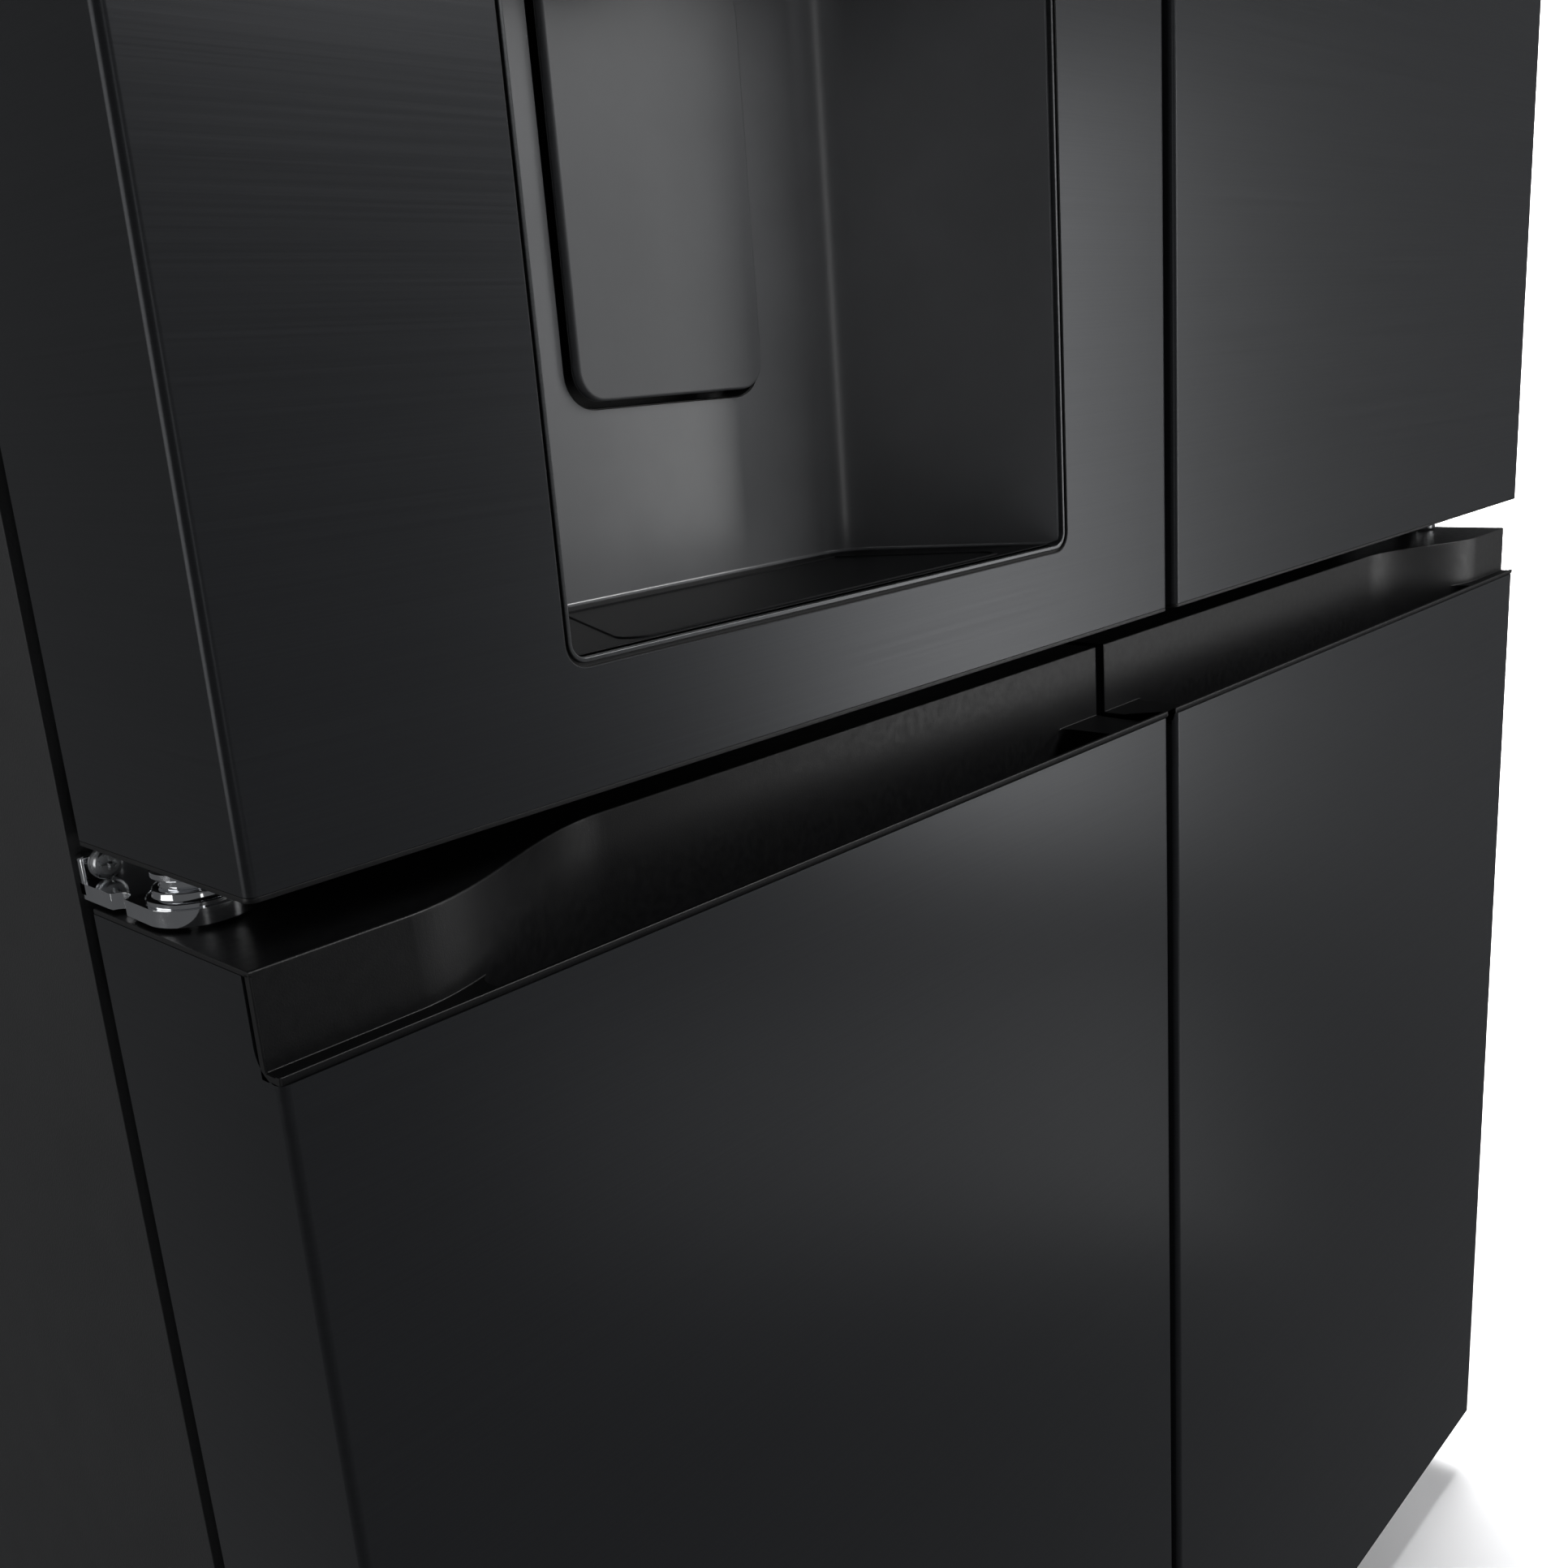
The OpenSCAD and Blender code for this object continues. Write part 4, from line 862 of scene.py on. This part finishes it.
def mid_hinges():
    """Polished plates with a round end, an upright flange and a stepped bush round each pin."""
    hinge_low, hinge_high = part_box("mid_hinges")
    plate_z = (CAP_TOP + 1.2 * MM, CAP_TOP + 6.2 * MM)
    pin = (PIN_X, PIN_Y)
    r, notch_r, corner_r = 15 * MM, 4.6 * MM, 3 * MM
    left, right, back = PIN_X - r, PIN_X + 28 * MM, CASE_FRONT
    outline = [(right, back), (left, back), (left, PIN_Y + 26 * MM)]
    outline += arc((left - 1 * MM, PIN_Y + 19 * MM), notch_r, 75, -75, 8)
    outline += arc(pin, r, 175, 360, 26)
    outline.append((PIN_X + r, back - 26 * MM))
    outline += arc((right - corner_r, back - 15.5 * MM), corner_r, 90, 0, 4)
    bm = bmesh.new()
    prism(bm, outline, plate_z[0], plate_z[1])
    plate = bevel(from_bmesh("plate", bm), 0.9 * MM, 3)
    flange = slab("flange", (left, right), (back - HINGE_FLANGE_T, back),
                  (plate_z[0], UPPER_BOTTOM - 4.6 * MM), 1.5 * MM)
    bevel(flange, 0.7 * MM, 3)
    bush_low = plate_z[1] - 0.2 * MM
    steps = [(0, 0), (13.6, 0), (13.9, 0.3), (13.9, 1.5), (13.4, 1.9), (12.2, 2.1), (11.9, 2.5), (11.9, 4.0),
             (11.4, 4.5), (10.0, 4.8), (9.6, 5.3), (9.6, 6.8), (10.2, 7.2), (11.4, 7.4), (11.8, 7.8),
             (11.8, 9.4), (11.2, 10.0), (8.0, 10.2), (8.0, 12.4), (0, 12.4)]
    bush = turned("bush", [(a * MM, bush_low + b * MM) for a, b in steps], pin)
    pin_r, tip_r = 4 * MM, 2.8 * MM
    profile = [(0, hinge_low.z), (3.2 * MM, hinge_low.z), (pin_r, hinge_low.z + 0.8 * MM),
               (pin_r, hinge_high.z - 1.2 * MM), (tip_r, hinge_high.z), (0, hinge_high.z)]
    hinge = join("left_hinge", [plate, flange, bush, turned("pin", profile, pin, 32)])
    other = mirrored_copy(hinge, "right_hinge")
    stand_for(join("middle_hinges", [hinge, other]), "mid_hinges", 38)


def screw(centre, axis):
    """A pan-head screw with a cross recess; centre is under its head, and axis points out of it."""
    profile = [(0, -3.5), (2.45, -3.5), (2.45, 0), (5.1, 0), (5.1, 0.5), (4.8, 0.8), (4.2, 0.95),
               (4.0, 1.2), (3.8, 1.8), (3.4, 2.1), (0, 2.2)]
    head = turned("head", [(r * MM, z * MM) for r, z in profile], (0, 0), 36)
    reach, half = 2.2 * MM, 0.45 * MM
    slots = [block("slot", (-a, -b, 0.9 * MM), (a, b, 3 * MM)) for a, b in ((reach, half), (half, reach))]
    cut(head, *slots)
    turn = Vector((0, 0, 1)).rotation_difference(Vector(axis)).to_matrix().to_4x4()
    head.data.transform(Matrix.Translation(centre) @ turn)
    return head


def hinge_screws():
    across = (PIN_X - 8 * MM, PIN_X + 20 * MM)
    places = [(CASE_FRONT - HINGE_FLANGE_T, UPPER_BOTTOM - 8 * MM),
              (CASE_FRONT - 4 * MM, LOWER_BOTTOM - 15 * MM)]
    pieces = [screw((x, y, z), (0, -1, 0)) for y, z in places for x in across]
    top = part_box("top_and_bottom_hinges")[1].z
    for x, y in ((-6, 16), (18, 16), (6, 48)):
        pieces.append(screw((PIN_X + x * MM, CASE_FRONT + y * MM, top), (0, 0, 1)))
    left = join("left_screws", pieces)
    stand_for(join("screws", [left, mirrored_copy(left, "right_screws")]), "hinge_screws", 30)


# ---- The back ----

def stiffening_frame(x, y, z):
    """A pressed ring with rounded corners and edges, seen from the back."""
    width, radius = 9 * MM, 26 * MM
    ring = slab("frame", x, y, z, radius)
    inside = slab("inside", shrunk(x, width), shrunk(y, -OVERCUT), shrunk(z, width), radius - width)
    return bevel(cut(ring, inside), 1.6 * MM, 4)


def back_screw(x, y, z):
    """A hexagonal washer-head screw that stands on the back sheet at depth y."""
    r = 7 * MM
    washer = slab("washer", (x - r, x + r), (y - 0.2 * MM, y + 0.7 * MM), (z - r, z + r), 6.99 * MM)
    bm = bmesh.new()
    prism(bm, arc((x, z), 4.8 * MM, 0, 300, 5), y, y + 2.4 * MM, "y")
    return join("screw", [bevel(washer, 0.2 * MM), bevel(from_bmesh("hexagon", bm), 0.3 * MM)])


def rear_panel():
    """Thin sheet with pressed stiffening frames and screws round its edge."""
    low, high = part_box("rear_panel")
    thick, margin, gap, rows = 0.8 * MM, 60 * MM, 30 * MM, 4
    back = low.y + thick
    parts = [slab("sheet", (low.x, high.x), (low.y, back), (low.z, high.z))]
    pitch = (high.z - low.z - margin - gap) / rows
    for i in range(rows):
        z = low.z + margin + i * pitch
        for x in ((low.x + margin, -16 * MM), (16 * MM, high.x - margin)):
            parts.append(stiffening_frame(x, (low.y + thick / 2, high.y), (z, z + pitch - gap)))
    stand_for(join("back_sheet", parts), "rear_panel")
    along, across, screws = 8, 6, []
    for i in range(along):
        z = low.z + 30 * MM + i * (high.z - low.z - 60 * MM) / (along - 1)
        screws += [back_screw(x, back, z) for x in shrunk((low.x, high.x), 26 * MM)]
    for i in range(across):
        x = (i - (across - 1) / 2) * 140 * MM
        screws += [back_screw(x, back, z) for z in (low.z + 24 * MM, high.z - 22 * MM)]
    alongside(join("back_screws", screws), "rear_panel", LOOKS["plated_steel"])


# ---- Everything else ----

def dress(node):
    """A CAD node whose shape is right keeps it, and gets its material."""
    for slot in frame["nodes"][node].material_slots:
        slot.material = look_of(node)


upper_skins()
lower_skins()
lower_caps()
dispenser_housing()
dispenser_bezel()
dispenser_paddle()
drip_tray()
control_panel()
mid_hinges()
hinge_screws()
rear_panel()
for name, width in ROUNDED_NODES.items():
    refined(name, width * MM)
for name in frame["nodes"]:
    if name not in REPLACED:
        dress(name)


# ---- Stage, light and camera ----

def plain(name, colour, roughness):
    mat = bpy.data.materials.new(name)
    mat.use_nodes = True
    shader = mat.node_tree.nodes["Principled BSDF"]
    shader.inputs["Base Color"].default_value = (*colour, 1)
    shader.inputs["Roughness"].default_value = roughness
    shader.inputs["Specular IOR Level"].default_value = 0.1
    return mat


def stage_sheet(name, corners, material):
    bm = bmesh.new()
    bm.faces.new([bm.verts.new(c) for c in corners])
    sheet = from_bmesh(name, bm)
    sheet.data.materials.append(material)
    sheet.visible_glossy = False
    return sheet


def softbox(name, place, target, size, power, spread=180):
    """A rectangular lamp at place, facing target; size is in metres, power in watts, spread in degrees."""
    lamp = bpy.data.lights.new(name, "AREA")
    lamp.shape = "RECTANGLE"
    lamp.size, lamp.size_y = size
    lamp.energy = power
    lamp.spread = math.radians(spread)
    lamp_object = bpy.data.objects.new(name, lamp)
    lamp_object.location = place
    aim = Vector(target) - Vector(place)
    lamp_object.rotation_euler = aim.to_track_quat("-Z", "Y").to_euler()
    bpy.context.scene.collection.objects.link(lamp_object)
    return lamp_object


pale = plain("floor_paint", (0.72, 0.72, 0.73), 0.85)
stage_sheet("floor", [(-6, -6, 0), (9, -6, 0), (9, 9, 0), (-6, 9, 0)], pale)
stage_sheet("backdrop", [(6, -0.2, 0), (6, 9, 0), (6, 9, 6), (6, -0.2, 6)], pale)
softbox("key", (1.66, -1.72, 0.66), (0, -0.36, 0.72), (0.42, 1.3), 8.3)
softbox("high_front", (1.12, -1.9, 2.15), (-0.22, -0.3, 0.95), (1.0, 0.7), 35)
softbox("fill", (-1.03, -2.35, 1.0), (-0.2, -0.3, 0.9), (0.22, 1.2), 1.4)
softbox("low_front", (0.44, -0.95, 0.14), (-0.2, -0.364, 0.55), (0.66, 0.26), 0.23)
softbox("left", (-2.6, 0.62, 0.9), (-0.45, 0.1, 0.7), (1.7, 1.6), 15)
softbox("rear", (0.6, 3.4, 1.7), (0.0, 0.36, 0.9), (2.2, 1.6), 45)
softbox("floor_light", (3.2, 1.9, 2.4), (3.2, 1.9, 0), (5.6, 4.8), 500, 60)
softbox("backdrop_light", (4.0, 3.2, 2.0), (6, 2.4, 1.2), (2, 3), 200, 90)

world = bpy.data.worlds.new("studio")
world.use_nodes = True
world.node_tree.nodes["Background"].inputs["Color"].default_value = (0.9, 0.92, 0.95, 1)
world.node_tree.nodes["Background"].inputs["Strength"].default_value = 0.095
bpy.context.scene.world = world
bpy.context.scene.view_settings.view_transform = "Standard"

# The camera stands where the photo's straight edges put it
CAMERA_PLACE = Vector((-0.62436, -0.70981, 0.87083))
CAMERA_FORWARD = Vector((0.69791, 0.66662, -0.26180)).normalized()
CAMERA_RIGHT = Vector((0.67484, -0.73451, -0.07129))


def camera():
    lens = bpy.data.cameras.new("camera")
    lens.lens = 35.31
    lens.sensor_width = 36
    lens.clip_start = 0.02
    view = bpy.data.objects.new("camera", lens)
    right = (CAMERA_RIGHT - CAMERA_FORWARD * CAMERA_RIGHT.dot(CAMERA_FORWARD)).normalized()
    up = right.cross(CAMERA_FORWARD)
    columns = Matrix((right, up, -CAMERA_FORWARD)).transposed().to_4x4()
    view.matrix_world = Matrix.Translation(CAMERA_PLACE) @ columns
    bpy.context.scene.collection.objects.link(view)
    bpy.context.scene.camera = view


camera()
